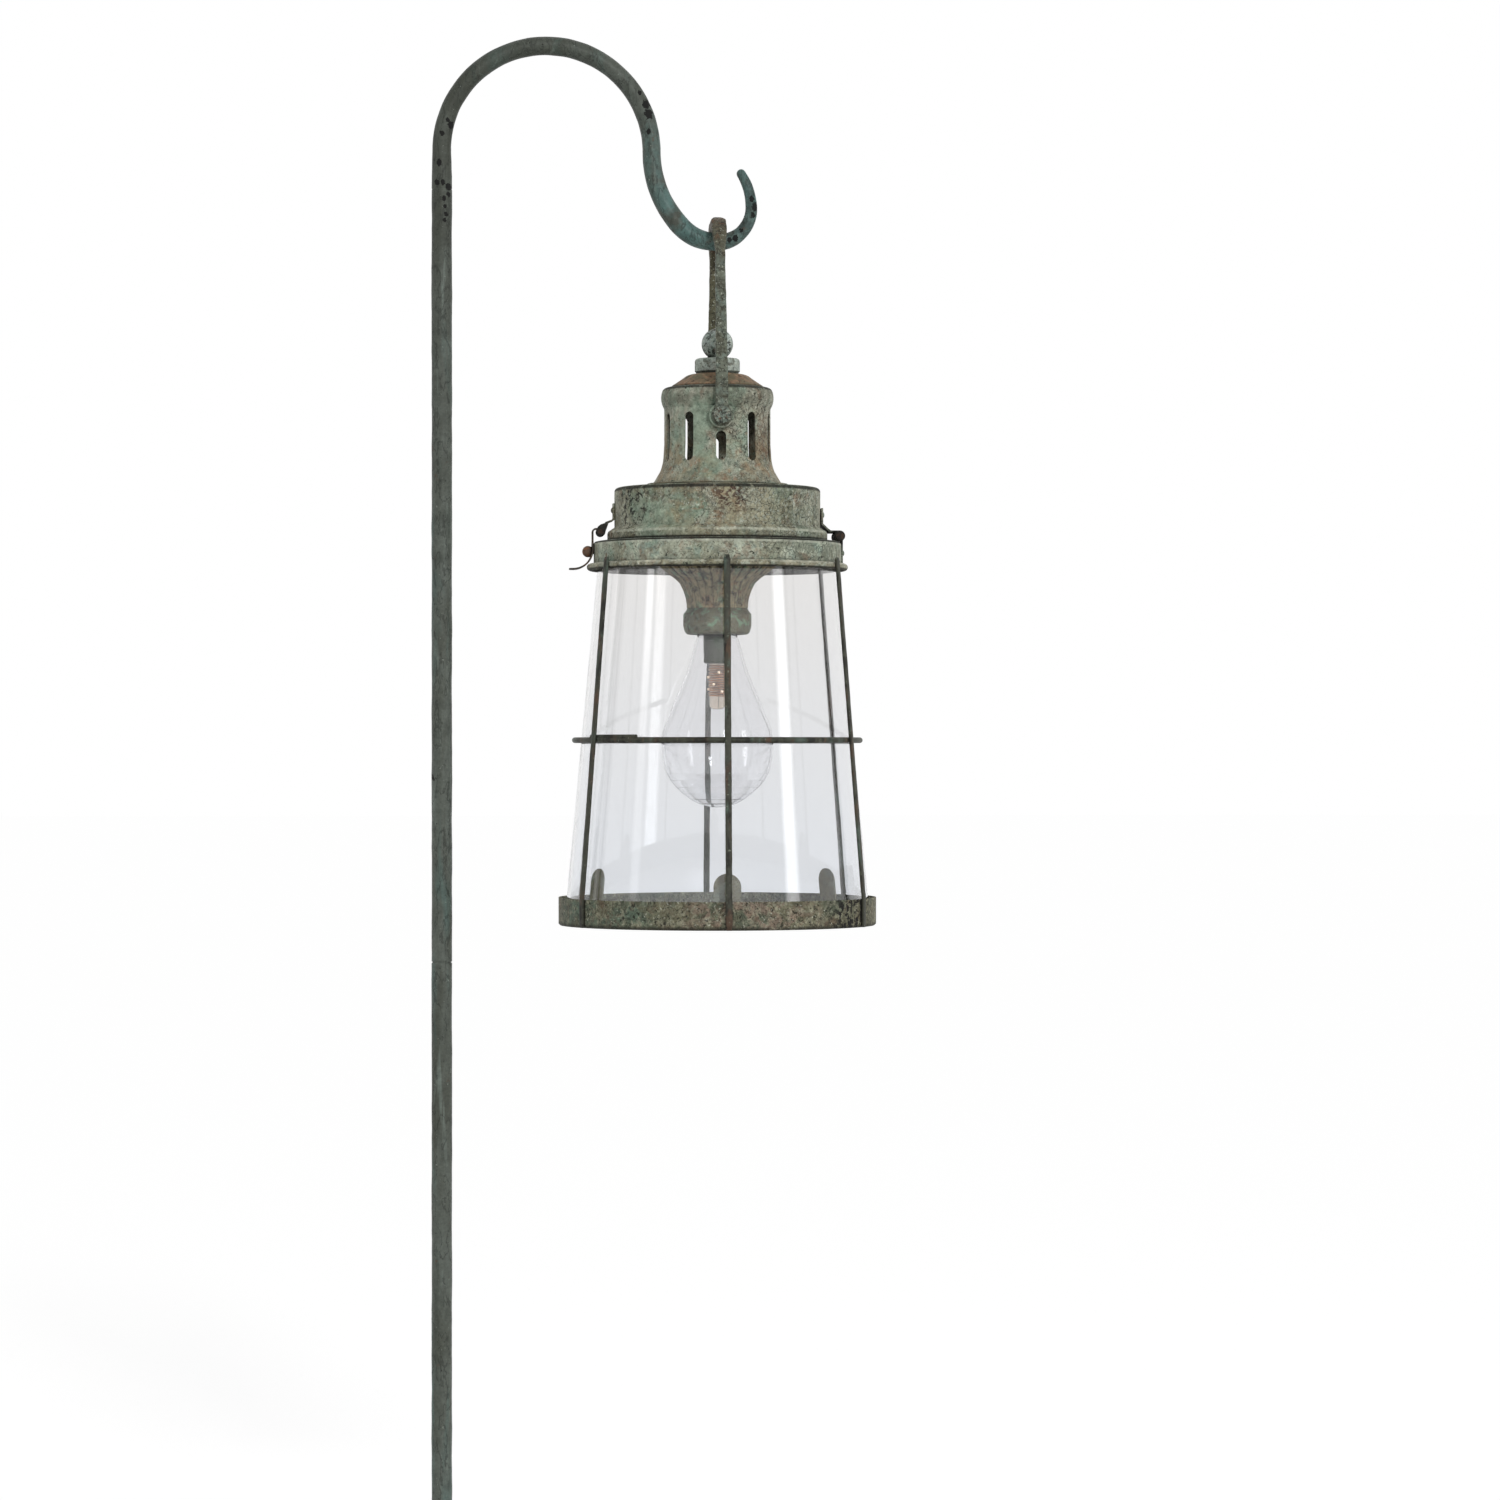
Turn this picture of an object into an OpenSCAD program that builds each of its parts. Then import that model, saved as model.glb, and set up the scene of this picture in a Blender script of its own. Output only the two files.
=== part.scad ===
// Lantern floor lamp: a round iron foot, a sectional steel pole with a forged shepherd's crook,
// and a hinged glass lantern that swings on its bail from the hook.
// Millimetres, +Z up. The origin is the centre of the pad's underside, under the pole.

/* [Foot] */
// Diameter of the cast foot
base_d = 320; // [300:2:360]
// Thickness of the foot at its edge
base_edge_h = 8; // [7:0.5:12]
// Height of the foot's raised centre above the pad
base_centre_h = 20; // [18:1:28]
// Thickness of the pad under the foot
pad_t = 2; // [1:0.5:4]
// Height of the turned socket at the pole's foot
socket_h = 28; // [22:1:40]

/* [Pole and crook] */
// Height of the whole lamp
overall_h = 1570; // [1450:5:1700]
// Diameter of the pole tube
pole_d = 19; // [18:0.5:22]
// Wall of the pole tube
pole_wall = 2; // [1.5:0.25:3]
// Height at which the two lengths of pole meet
pole_joint_h = 731; // [600:1:900]
// Length of the spigots that join the pole
spigot_len = 40; // [30:1:60]
// Diameter of the forged rod round the arch
rod_d = 17.2; // [16:0.2:18]
// Radius of the arch on its centreline
arch_r = 95; // [85:1:110]
// Radius of the bend that leads from the arch to the hook
arm_r = 99; // [90:1:110]
// Angle that this bend turns through
arm_turn = 42.5; // [38:0.5:48]
// Radius of the hook before its lowest point
trough_r = 46; // [42:1:52]
// Radius of the hook after its lowest point
hook_r = 31; // [29:1:36]
// Radius of the tip's last bend
tip_r = 58; // [50:1:70]
// Angle that the tip's last bend turns through
tip_turn = 33; // [20:1:40]
// Diameter of the rod at the tip
tip_d = 8.8; // [7:0.2:11]

/* [Bail] */
// Drop from the rod's centre in the hook to the lantern's pivots
bail_drop = 161; // [150:1:180]
// Inner radius of the bail's crown
crown_r = 34; // [30:1:38]
// Thickness of the forged crown
crown_t = 13.5; // [9:0.5:16]
// Thickness of the bail's legs
leg_t = 4; // [3:0.25:5]
// Width of the bail at the crown
bail_w = 9; // [8:0.5:10]
// Diameter of the eyes
eye_d = 19; // [17:0.5:22]
// Diameter of the pivot screws
pivot_d = 6; // [5:0.5:7]

/* [Lid] */
// Diameter of the drum
drum_d = 187.2; // [180:0.5:194]
// Height of the drum's shoulder above the parting line
drum_h = 48.8; // [44:0.5:60]
// Thickness of the lid's sheet
lid_wall = 1.2; // [1:0.1:1.6]
// Width of the flare from the drum to the rim
rim_flare = 6.4; // [5:0.2:7]
// Height of the rim
rim_h = 8; // [7:0.5:9]
// Diameter of the chimney's straight wall
chimney_d = 96.6; // [92:0.5:100]
// Height of the chimney from the drum's shoulder to its lip
chimney_h = 91.8; // [86:0.5:100]
// Swell of the chimney's rounded cap
cap_swell = 2.7; // [2:0.1:4]
// Number of air slots
slot_count = 10; // [8:2:12]
// Width of an air slot
slot_w = 9; // [7:0.5:11]
// Height of an air slot
slot_h = 44; // [36:1:46]
// Height of the pivots above the parting line
pivot_h = 111.5; // [106:0.5:114]
// Diameter of the ball on top
ball_d = 28.6; // [24:0.2:32]
// Diameter of the hub under the ball
hub_d = 41; // [36:0.5:44]

/* [Collar and cage] */
// Diameter of the collar
collar_d = 224.8; // [221:0.2:228]
// Depth of the collar
collar_h = 24.6; // [22:0.2:28]
// Diameter of the beaded wire under the collar
bead_d = 6.2; // [5:0.2:7]
// Depth of the cage from the parting line to its bottom
cage_h = 347.9; // [330:1:380]
// Height of the bottom band
band_h = 25.3; // [22:0.5:30]
// Width of a bar
bar_w = 6.3; // [5:0.1:8]
// Thickness of a bar
bar_t = 2.7; // [2:0.1:3.4]
// Depth of the middle ring below the parting line
ring_drop = 180.2; // [150:1:220]
// Diameter of the middle ring's wire
ring_wire_d = 5.2; // [4:0.2:6]

/* [Glass] */
// Outer diameter of the glass at its top edge
glass_top_d = 214.6; // [210:0.2:216]
// Outer diameter of the glass at its bottom edge
glass_bottom_d = 277.7; // [272:0.2:280]
// Thickness of the glass
glass_t = 3; // [2:0.25:4]
// Space round the glass's bottom edge, inside the bottom band
glass_play = 3.95; // [3:0.05:5]
// Number of glass tabs on the floor
tab_count = 3; // [3:1:4]
// Width of a glass tab
tab_w = 24.4; // [18:0.2:28]

/* [Lamp] */
// Depth of the pleated canopy
canopy_h = 60.3; // [54:0.5:66]
// Radius of the canopy's mouth under the deck
canopy_top_r = 76; // [70:0.5:80]
// Radius of the canopy's waist
waist_r = 27.8; // [25:0.2:30]
// Number of pleats
pleat_count = 30; // [24:2:36]
// Depth of the pleats at the mouth
pleat_depth = 2.2; // [1:0.1:3]
// Diameter of the lamp sleeve
sleeve_d = 25.2; // [22:0.2:28]
// Length of the lamp sleeve below the cup
sleeve_len = 26.3; // [20:0.5:32]
// Diameter of the light stick
stick_d = 14.4; // [12:0.2:16]
// Length of the light stick below the sleeve
stick_len = 41.6; // [34:0.5:50]
// Largest radius of the bulb
bulb_r = 51.1; // [46:0.2:54]
// Length of the bulb below the cup
bulb_len = 157.5; // [145:0.5:170]
// Thickness of the bulb's glass
bulb_t = 1.2; // [1:0.1:1.6]

/* [Clearances] */
// Gap between parts that move past each other
run_gap = 0.3; // [0.3:0.05:0.4]
// Radial clearance of a pin in its eye
pin_gap = 0.05; // [0.03:0.01:0.08]
// Clearance of curved faces that are seated on each other
seat = 0.05; // [0.03:0.01:0.08]

/* [Hidden] */
$fn = 96;

// Frame and bodies of the crook, in the XZ plane
pole_r = pole_d / 2;
rod_r = rod_d / 2;
bore_r = pole_r - pole_wall;
arch_z = overall_h - arch_r - rod_r;
crook_joint_h = arch_z - 36;
arm_c = [2 * arch_r + arm_r, arch_z];
trough_c = arm_c - (arm_r - trough_r) * [cos(arm_turn), sin(arm_turn)];
hook_c = trough_c - [0, trough_r - hook_r];
tip_c = hook_c + [hook_r - tip_r, 0];
hang_x = trough_c[0];
hang_z = trough_c[1] - trough_r;
hang_rod_r = rod_r - 0.2;
arm_rod_r = rod_r + 0.7;

// Foot's bolt, in a recess under the plate
bolt_r = 5;
bolt_hole_r = bolt_r + 0.3;
bolt_head_h = 6;
bolt_head_flats = 17;
washer_t = 2;
washer_r = 10.5;
recess_r = 12;
recess_top = pad_t + 1 + bolt_head_h + washer_t + seat;
boss_land_r = 30;

// The lantern's own frame has its zero on the parting line, on the lantern's axis
pivot_z = hang_z - bail_drop;
parting_z = pivot_z - pivot_h;
half_gap = run_gap / 2;

// Lid
drum_r = drum_d / 2;
rim_r = drum_r + rim_flare;
flare_h = 4.5;
shoulder_r = 3;
top_rise = 2.4;
chimney_r = chimney_d / 2;
cap_r = chimney_r + cap_swell;
foot_r = chimney_r + 10.2;
flange_r = foot_r + 5.6;
flange_rivet_r = foot_r + 3;
drum_hole_r = foot_r - 3;
flange_z = drum_h + top_rise + seat;
lip_z = drum_h + chimney_h;
lip_r = cap_r - 10;
lip_in_r = lip_r - 5;
slot_z = flange_z + 20.5;
boss_r = 11.3;
eye_y = chimney_r + 10.6;
boss_y = eye_y - leg_t / 2 - run_gap;
pivot_r = pivot_d / 2;
screw_head_r = 7.7;
screw_head_t = 4;
dome_h = 12.3;
hub_h = 13.7;
neck_h = 2;
hub_z = lip_z + dome_h;
ball_r = ball_d / 2;
ball_z = hub_z + hub_h + neck_h + ball_r - 3;
stud_r = 3;
bridge_t = 3;
bridge_w = 14;
nut_t = 5;
nut_flats = 10;
stud_bottom_z = lip_z - lid_wall - bridge_t - nut_t - 2;

// Hinge on the lantern's +X side
hinge_r = 4.9;
hinge_pin_r = 2.5;
collar_r = collar_d / 2;
hinge_x = collar_r - 2;
hinge_z = hinge_r + run_gap + half_gap;
leaf_t = 1.6;
knuckle_len = 14;
side_knuckle_len = 8;
leaf_w = knuckle_len + 2 * (side_knuckle_len + run_gap);
rivet_r = 2;
rivet_tail = 0.8;
hinge_rivet_z = rim_h + flare_h + 12;
bracket_rivet_z = rim_h + flare_h + 16;

// Hasp on the lantern's -X side, drawn towards +X and turned round
hasp_t = 1.5;
hasp_x = collar_r - 6.1;
hasp_z = 8.6;
hasp_pin_r = 1.75;
hasp_knuckle_r = 3.6;
hasp_knuckle_len = 10;
hasp_w = 18;
strap_x = collar_r + run_gap + 0.1 + hasp_t / 2;
strap_bend_z = -7.4;
strap_bend_r = 17.5;
catch_z = -9.1;
catch_shank_r = 2.4;
catch_r = 5.2;
catch_x = collar_r + 5.3;
bracket_w = hasp_knuckle_len + 2 * run_gap + 4;

// Collar, bead and bars
sheet = 1.2;
ledge_in_r = 88;
collar_lip_r = rim_r - 5;
collar_lip_h = 5.7;
collar_rivet_z = -10;
ledge_z = -half_gap;
bead_r = bead_d / 2;
bead_c = collar_r + seat + bead_r;
bead_z = -collar_h + bead_r * 0.45;
band_wall = 1.5;
glass_bottom_r = glass_bottom_d / 2;
band_r = glass_bottom_r + glass_play + band_wall;
band_top_z = -cage_h + band_h;
bar_count = 6;
bar_top_r = bead_c + bead_r + 2 * seat + bar_t / 2;
bar_foot_r = band_r + seat + bar_t / 2;
bar_slope = (bar_foot_r - bar_top_r) / (bead_z - band_top_z);
ring_r = bar_top_r + bar_slope * (ring_drop + bead_z) - bar_t / 2 - 2 * seat - ring_wire_d / 2;

// Floor and glass
floor_t = 1.2;
floor_z = -cage_h + band_wall + seat;
gasket_t = 2;
glass_bottom_z = floor_z + floor_t + 2 * seat + gasket_t;
top_gasket_t = 4.1;
glass_top_z = ledge_z - sheet - 2 * seat - top_gasket_t;
glass_top_r = glass_top_d / 2;
floor_play = 0.7;
floor_rise_r = band_r * 0.35;
tab_foot_r = glass_bottom_r - glass_t - 9.15;
tab_lean = 4.5;
tab_h = 46;
tab_t = 1.6;
tab_foot_len = 15;

// Lamp
deck_t = 1.2;
deck_r = collar_lip_r - sheet - run_gap;
deck_z = ledge_z + seat;
canopy_z = deck_z - seat;
canopy_wall = 1;
cup_z = canopy_z - canopy_h - seat;
cup_h = 23.9;
cup_r = waist_r + 3.2;
cup_rim_r = 23.1;
cup_bottom_z = cup_z - cup_h;
cup_wall = 1.2;
tube_r = 5;
tube_bore_r = 3.2;
tube_flange_r = 14;
tube_flange_t = 2;
sleeve_r = sleeve_d / 2;
sleeve_top_z = cup_z - cup_wall - seat;
sleeve_bottom_z = cup_bottom_z - sleeve_len;
sleeve_head_t = 5;
stick_r = stick_d / 2;
stick_tip_z = sleeve_bottom_z - stick_len;
neck_r = 17.5;
neck_gasket_z = cup_bottom_z + cup_wall + 5;
bulb_flange_w = 4;
bulb_flange_z = neck_gasket_z + seat;
bulb_top_z = bulb_flange_z + 2.5;
bulb_tip_z = cup_bottom_z - bulb_len;
lead_hole_r = 2.6;
led_count = 12;
led_r = 1.3;
led_string_len = 26;

// Battery box on the deck
cell_d = 14.5;
cell_len = 50.5;
cell_count = 3;
box_wall = 2;
contact_t = 2.6;
board_bay = 14;
cell_pitch = cell_d + 0.2;
cell_pocket_x = cell_count * cell_pitch + 0.2;
box_divider = 1;
box_in_x = cell_pocket_x + box_divider + board_bay;
box_in_y = cell_len + 2 * contact_t + 2 * seat;
box_in_z = cell_d + 1.5;
box_x = box_in_x + 2 * box_wall;
box_y = box_in_y + 2 * box_wall;
box_z = deck_z + deck_t + seat;
box_floor = 2;
box_lid_z = box_z + box_floor + box_in_z + seat;
box_lid_t = 2;
cells_x = -box_in_x / 2 + 0.2 + cell_d / 2;
board_x = box_in_x / 2 - board_bay / 2;
slider_w = 5;
slider_len = 8;
slider_travel = 4;
slider_h = 3;
slider_base_t = 2;

// Points along an arc of a circle
function arc(c, r, a0, a1, n) =
    [for (i = [0:n]) c + r * [cos(a0 + (a1 - a0) * i / n), sin(a0 + (a1 - a0) * i / n)]];

// All but the first point of a list, so that joined curves don't repeat a point
function after_first(p) = [for (i = [1:len(p) - 1]) p[i]];

function unit(v) = v / norm(v);
function left_of(v) = [-v[1], v[0]];

// Mitred normal of a path at point i
function path_normal(p, i) =
    let (
        before = i == 0 ? unit(p[1] - p[0]) : unit(p[i] - p[i - 1]),
        next = i == len(p) - 1 ? before : unit(p[i + 1] - p[i]),
        n = left_of(unit(before + next))
    )
    n / (n * left_of(next));

// Outline of a sheet of thickness t whose middle follows the path p
function sheet_outline(p, t) = concat(
    [for (i = [0:len(p) - 1]) p[i] + path_normal(p, i) * t / 2],
    [for (i = [len(p) - 1:-1:0]) p[i] - path_normal(p, i) * t / 2]
);

// Smooth curve through the points p, with n steps between neighbours
function spline_at(a, b, c, d, t) =
    0.5 * (2 * b + (c - a) * t + (2 * a - 5 * b + 4 * c - d) * t * t
    + (3 * b - a - 3 * c + d) * t * t * t);
function spline(p, n) = concat(
    [
        for (i = [0:len(p) - 2]) for (k = [0:n - 1])
            spline_at(p[max(i - 1, 0)], p[i], p[i + 1], p[min(i + 2, len(p) - 1)], k / n)
    ],
    [p[len(p) - 1]]
);

// Length along a path up to each of its points
function lengths(p, i = 0, sum = 0) =
    i == len(p) - 1 ? [sum]
    : concat([sum], lengths(p, i + 1, sum + norm(p[i + 1] - p[i])));

// Revolved sheet whose middle follows the path p
module spun(p, t) {
    rotate_extrude() polygon(sheet_outline(p, t));
}

// Round bar between two heights
module rod(r, z0, z1) {
    translate([0, 0, z0]) cylinder(r = r, h = z1 - z0);
}

// Tube between two heights
module tube(r, inner_r, z0, z1) {
    difference() {
        rod(r, z0, z1);
        rod(inner_r, z0 - 1, z1 + 1);
    }
}

// Puts its children in the lantern's frame
module lantern() {
    translate([hang_x, 0, parting_z]) children();
}

// Copies round the Z axis
module around(count) {
    for (i = [0:count - 1]) rotate([0, 0, i * 360 / count]) children();
}

// Round-headed rivet whose head stands on z = 0, with its shank below
module rivet(r, head_r, grip) {
    head_h = head_r * 0.55;
    head_curve = (head_r * head_r + head_h * head_h) / (2 * head_h);
    rotate_extrude() polygon(concat(
        [[0, -grip], [r, -grip], [r, 0]],
        arc([0, head_h - head_curve], head_curve, asin((head_curve - head_h) / head_curve), 90, 6)
    ));
}

// ---------- foot and pole ----------

module base_pad() {
    color("#2b2c2a") rod(base_d / 2 - 1.5, 0, pad_t);
}

module base_plate() {
    top = base_centre_h;
    edge = pad_t + base_edge_h;
    r = base_d / 2;
    round_r = 3;
    ogee = spline([[r - 12, edge], [r * 0.68, edge + 1.6], [r * 0.36, edge + 5], [boss_land_r, top]], 4);
    color("#3b423e") difference() {
        rotate_extrude() polygon(concat(
            [[0, pad_t], [r - 1, pad_t], [r, pad_t + 1]],
            arc([r - round_r, edge - round_r], round_r, 0, 90, 5),
            ogee,
            [[0, top]]
        ));
        rod(bolt_hole_r, 0, top + 1);
        rod(recess_r, 0, recess_top);
    }
}

module base_socket() {
    z0 = base_centre_h + seat;
    z1 = z0 + socket_h;
    outline = concat(
        [[pole_r + seat, z0], [boss_land_r - 3, z0], [boss_land_r - 3, z0 + 4]],
        arc([boss_land_r - 3, z0 + 4 + (boss_land_r - pole_r - 8)], boss_land_r - pole_r - 8, 270, 180, 8),
        [[pole_r + 5, z1 - 6]],
        arc([pole_r + 3.5, z1 - 4], 2.5, -40, 90, 8),
        [[pole_r + seat, z1 - 1.5]]
    );
    color("#46504b") rotate_extrude() polygon(outline);
}

module base_bolt() {
    head_z = recess_top - washer_t - seat - bolt_head_h;
    color("#8b8d8c") union() {
        translate([0, 0, head_z]) cylinder(d = bolt_head_flats / cos(30), h = bolt_head_h, $fn = 6);
        rod(bolt_r, head_z + 1, base_centre_h + spigot_len - 6);
    }
}

module base_washer() {
    color("#8b8d8c") tube(washer_r, bolt_hole_r, recess_top - washer_t, recess_top);
}

module pole_plug() {
    z0 = base_centre_h + seat;
    color("#7b7f7d") tube(bore_r - seat, bolt_r + seat, z0, z0 + spigot_len);
}

module lower_pole() {
    color("#56625c") tube(pole_r, bore_r, base_centre_h + seat, pole_joint_h);
}

module pole_joiner() {
    color("#7b7f7d") rod(bore_r - seat, pole_joint_h - spigot_len, pole_joint_h + spigot_len);
}

module upper_pole() {
    color("#56625c") tube(pole_r, bore_r, pole_joint_h + seat, crook_joint_h);
}

// Centreline of the bent rod, from its shoulder on the pole to its tip
arch_steps = 24;
crook_path = concat(
    [[0, crook_joint_h + seat], [0, crook_joint_h + 10]],
    arc([arch_r, arch_z], arch_r, 180, 0, arch_steps),
    after_first(arc(arm_c, arm_r, 180, 180 + arm_turn, 7)),
    after_first(arc(trough_c, trough_r, 180 + arm_turn, 270, 7)),
    after_first(arc(hook_c, hook_r, 270, 360, 9)),
    after_first(arc(tip_c, tip_r, 0, tip_turn, 5))
);
crook_len = lengths(crook_path);
arch_end = crook_len[1 + arch_steps + 1];
arm_end = crook_len[1 + arch_steps + 1 + 7];
trough_end = crook_len[1 + arch_steps + 1 + 14];
hook_end = crook_len[1 + arch_steps + 1 + 23];
path_end = crook_len[len(crook_len) - 1];

// Radius of the forged rod along its length: drawn down past the trough to the tip
rod_stations = [
    [0, pole_r],
    [12, pole_r],
    [36, rod_r],
    [arch_end, rod_r],
    [arm_end, arm_rod_r],
    [trough_end, hang_rod_r],
    [trough_end + (hook_end - trough_end) * 0.5, 6.5],
    [hook_end, 5.7],
    [path_end, tip_d / 2]
];

// One ring of points round the rod at point i of the path
crook_sides = 24;
function ring_points(c, dir, r) =
    let (n = left_of(dir))
    [
        for (k = [0:crook_sides - 1])
            let (a = 360 * (k + 0.5) / crook_sides)
            [c[0] + n[0] * r * cos(a), r * sin(a), c[1] + n[1] * r * cos(a)]
    ];
function path_dir(p, i) =
    i == 0 ? unit(p[1] - p[0])
    : i == len(p) - 1 ? unit(p[i] - p[i - 1])
    : unit(unit(p[i] - p[i - 1]) + unit(p[i + 1] - p[i]));

// Closed skin over rings that all have the same number of points
module skin(rings) {
    n = len(rings[0]);
    m = len(rings);
    points = [for (ring = rings) each ring];
    sides = [
        for (i = [0:m - 2]) for (k = [0:n - 1])
            let (next = (k + 1) % n)
            [i * n + k, i * n + next, (i + 1) * n + next, (i + 1) * n + k]
    ];
    first = [for (k = [n - 1:-1:0]) k];
    last = [for (k = [0:n - 1]) (m - 1) * n + k];
    polyhedron(points = points, faces = concat([first], sides, [last]), convexity = 6);
}

module crook() {
    tip = tip_d / 2;
    tip_dir = path_dir(crook_path, len(crook_path) - 1);
    body_rings = [
        for (i = [0:len(crook_path) - 1])
            ring_points(crook_path[i], path_dir(crook_path, i), lookup(crook_len[i], rod_stations))
    ];
    end_rings = [
        for (a = [25, 50, 72])
            ring_points(
                crook_path[len(crook_path) - 1] + tip_dir * tip * sin(a),
                tip_dir,
                tip * cos(a)
            )
    ];
    color("#5c6963") union() {
        skin(concat(body_rings, end_rings));
        rod(bore_r - seat, crook_joint_h - spigot_len, crook_joint_h + 5);
    }
}

// ---------- bail ----------

module bail() {
    inner_z = hang_z + hang_rod_r + run_gap + 0.5 - crown_r;
    outer_r = crown_r + 9;
    outer_z = inner_z + crown_r + crown_t - outer_r;
    crown_z = inner_z + crown_r + crown_t;
    knee_z = pivot_z + 24;
    eye_r = eye_d / 2;
    half_w = bail_w / 2;
    leg_in = eye_y - leg_t / 2;
    leg_out = eye_y + leg_t / 2;
    leg_end = pivot_z - eye_r / 2;
    outline = concat(
        [[leg_in, leg_end], [leg_out, leg_end], [leg_out, knee_z]],
        arc([0, outer_z], outer_r, 0, 180, 36),
        [[-leg_out, knee_z], [-leg_out, leg_end], [-leg_in, leg_end], [-leg_in, knee_z]],
        arc([0, inner_z], crown_r, 180, 0, 36),
        [[leg_in, knee_z]]
    );
    color("#66705f") translate([hang_x, 0, 0]) difference() {
        union() {
            intersection() {
                rotate([90, 0, 90]) linear_extrude(height = eye_d + 2, center = true) polygon(outline);
                rotate([90, 0, 0]) linear_extrude(height = 4 * eye_y, center = true) polygon([
                    [-half_w, inner_z], [-half_w, crown_z - 5], [-half_w + 2.4, crown_z + 1],
                    [half_w - 2.4, crown_z + 1], [half_w, crown_z - 5], [half_w, inner_z],
                    [half_w + 1.4, knee_z], [half_w + 1.8, leg_end - 1],
                    [-half_w - 1.8, leg_end - 1], [-half_w - 1.4, knee_z]
                ]);
            }
            for (side = [-1, 1]) translate([0, side * eye_y, pivot_z]) rotate([90, 0, 0])
                cylinder(r = eye_r, h = leg_t, center = true);
        }
        translate([0, 0, pivot_z]) rotate([90, 0, 0])
            cylinder(r = pivot_r + pin_gap, h = 4 * eye_y, center = true);
    }
}

// ---------- lid ----------

module finial_ball() {
    z0 = hub_z + hub_h + seat;
    neck_r = ball_r * 0.55;
    foot_angle = asin((ball_z - z0 - neck_h) / ball_r);
    color("#7d8b80") lantern() difference() {
        rotate_extrude() polygon(concat(
            [[0, z0], [neck_r + 1.5, z0], [neck_r, z0 + neck_h / 2]],
            arc([0, ball_z], ball_r, -foot_angle, 90, 24)
        ));
        rod(stud_r + pin_gap, z0 - 1, ball_z);
    }
}

module top_hub() {
    r = hub_d / 2;
    color("#66716a") lantern() difference() {
        rotate_extrude() polygon(concat(
            [[0, hub_z + seat], [r - 2, hub_z + seat], [r, hub_z + 2]],
            arc([r - 3, hub_z + hub_h - 3], 3, 0, 90, 5),
            [[0, hub_z + hub_h]]
        ));
        rod(stud_r + pin_gap, hub_z - 1, hub_z + hub_h + 1);
    }
}

module vent_dome() {
    wall = 1.5;
    outer = spline([[lip_r + 0.4, lip_z + 1], [lip_r - 8, lip_z + 6.6], [lip_r - 14, lip_z + 10.6],
        [lip_r - 22, lip_z + dome_h]], 4);
    inner = spline([[lip_r - 22, lip_z + dome_h - wall], [lip_r - 14.7, lip_z + 9.2],
        [lip_r - 9, lip_z + 5.4], [lip_r - 3.5, lip_z + seat]], 4);
    color("#6b4a35") lantern() difference() {
        rotate_extrude() polygon(concat(
            [[lip_r + 0.4, lip_z + seat]],
            outer,
            [[0, lip_z + dome_h], [0, lip_z + dome_h - wall]],
            inner
        ));
        rod(stud_r + pin_gap, lip_z, lip_z + dome_h + 1);
    }
}

module finial_stud() {
    color("#8a8c88") lantern() rod(stud_r, stud_bottom_z, ball_z - 1);
}

module stud_nut() {
    top = lip_z - lid_wall - bridge_t - 2 * seat;
    color("#8a8c88") lantern() difference() {
        translate([0, 0, top - nut_t]) cylinder(d = nut_flats / cos(30), h = nut_t, $fn = 6);
        rod(stud_r + seat, top - nut_t - 1, top + 1);
    }
}

module top_bridge() {
    half_len = lip_r - 0.5;
    z1 = lip_z - lid_wall - seat;
    color("#5b5e5a") lantern() difference() {
        intersection() {
            translate([-half_len, -bridge_w / 2, z1 - bridge_t]) cube([2 * half_len, bridge_w, bridge_t]);
            rod(half_len, z1 - bridge_t, z1);
        }
        rod(stud_r + pin_gap, z1 - bridge_t - 1, z1 + 1);
    }
}

// Middle line of the chimney's sheet, from its foot flange up to its lip
chimney_path = let (mid = lid_wall / 2, r = chimney_r - lid_wall / 2) concat(
    [[flange_r, flange_z + mid], [foot_r, flange_z + mid]],
    spline([
        [foot_r - 1.6, flange_z + 3], [r + 6, flange_z + 8.5], [r + 3.3, flange_z + 13.5],
        [r + 1.1, flange_z + 22], [r + 0.4, flange_z + 31], [r, flange_z + 37]
    ], 3),
    [[r, lip_z - 22]],
    spline([
        [r + 0.1, lip_z - 19.5], [r + 1.5, lip_z - 16.8], [r + cap_swell, lip_z - 12.4],
        [r + cap_swell, lip_z - 7.8], [r + cap_swell - 1.2, lip_z - 3.4], [r + cap_swell - 4, lip_z - 1.4],
        [lip_r, lip_z - mid]
    ], 3),
    [[lip_in_r, lip_z - mid]]
);

// Air slot with round ends, cut outwards along +X
module air_slot(height) {
    for (z = [slot_w / 2, height - slot_w / 2])
        translate([0, 0, z]) rotate([0, 90, 0]) cylinder(d = slot_w, h = cap_r + 5);
    translate([0, -slot_w / 2, slot_w / 2]) cube([cap_r + 5, slot_w, height - slot_w]);
}

module vent_chimney() {
    short_h = pivot_h - boss_r - 2.2 - slot_z;
    color("#76857a") lantern() difference() {
        spun(chimney_path, lid_wall);
        for (i = [0:slot_count - 1]) {
            under_boss = i % (slot_count / 2) == 0;
            rotate([0, 0, -90 + i * 360 / slot_count]) translate([chimney_r - 15, 0, slot_z])
                air_slot(under_boss ? short_h : slot_h);
        }
        translate([0, 0, pivot_h]) rotate([90, 0, 0])
            cylinder(r = pivot_r + seat, h = 3 * chimney_r, center = true);
        rotate([0, 0, 45]) around(4) translate([flange_rivet_r, 0, 0])
            rod(rivet_r + seat, flange_z - 1, flange_z + lid_wall + 1);
    }
}

module chimney_rivets() {
    color("#8a9187") lantern() rotate([0, 0, 45]) around(4)
        translate([flange_rivet_r, 0, flange_z + lid_wall + seat])
            rivet(rivet_r - 0.4, 2.4, 2 * lid_wall + rivet_tail);
}

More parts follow.
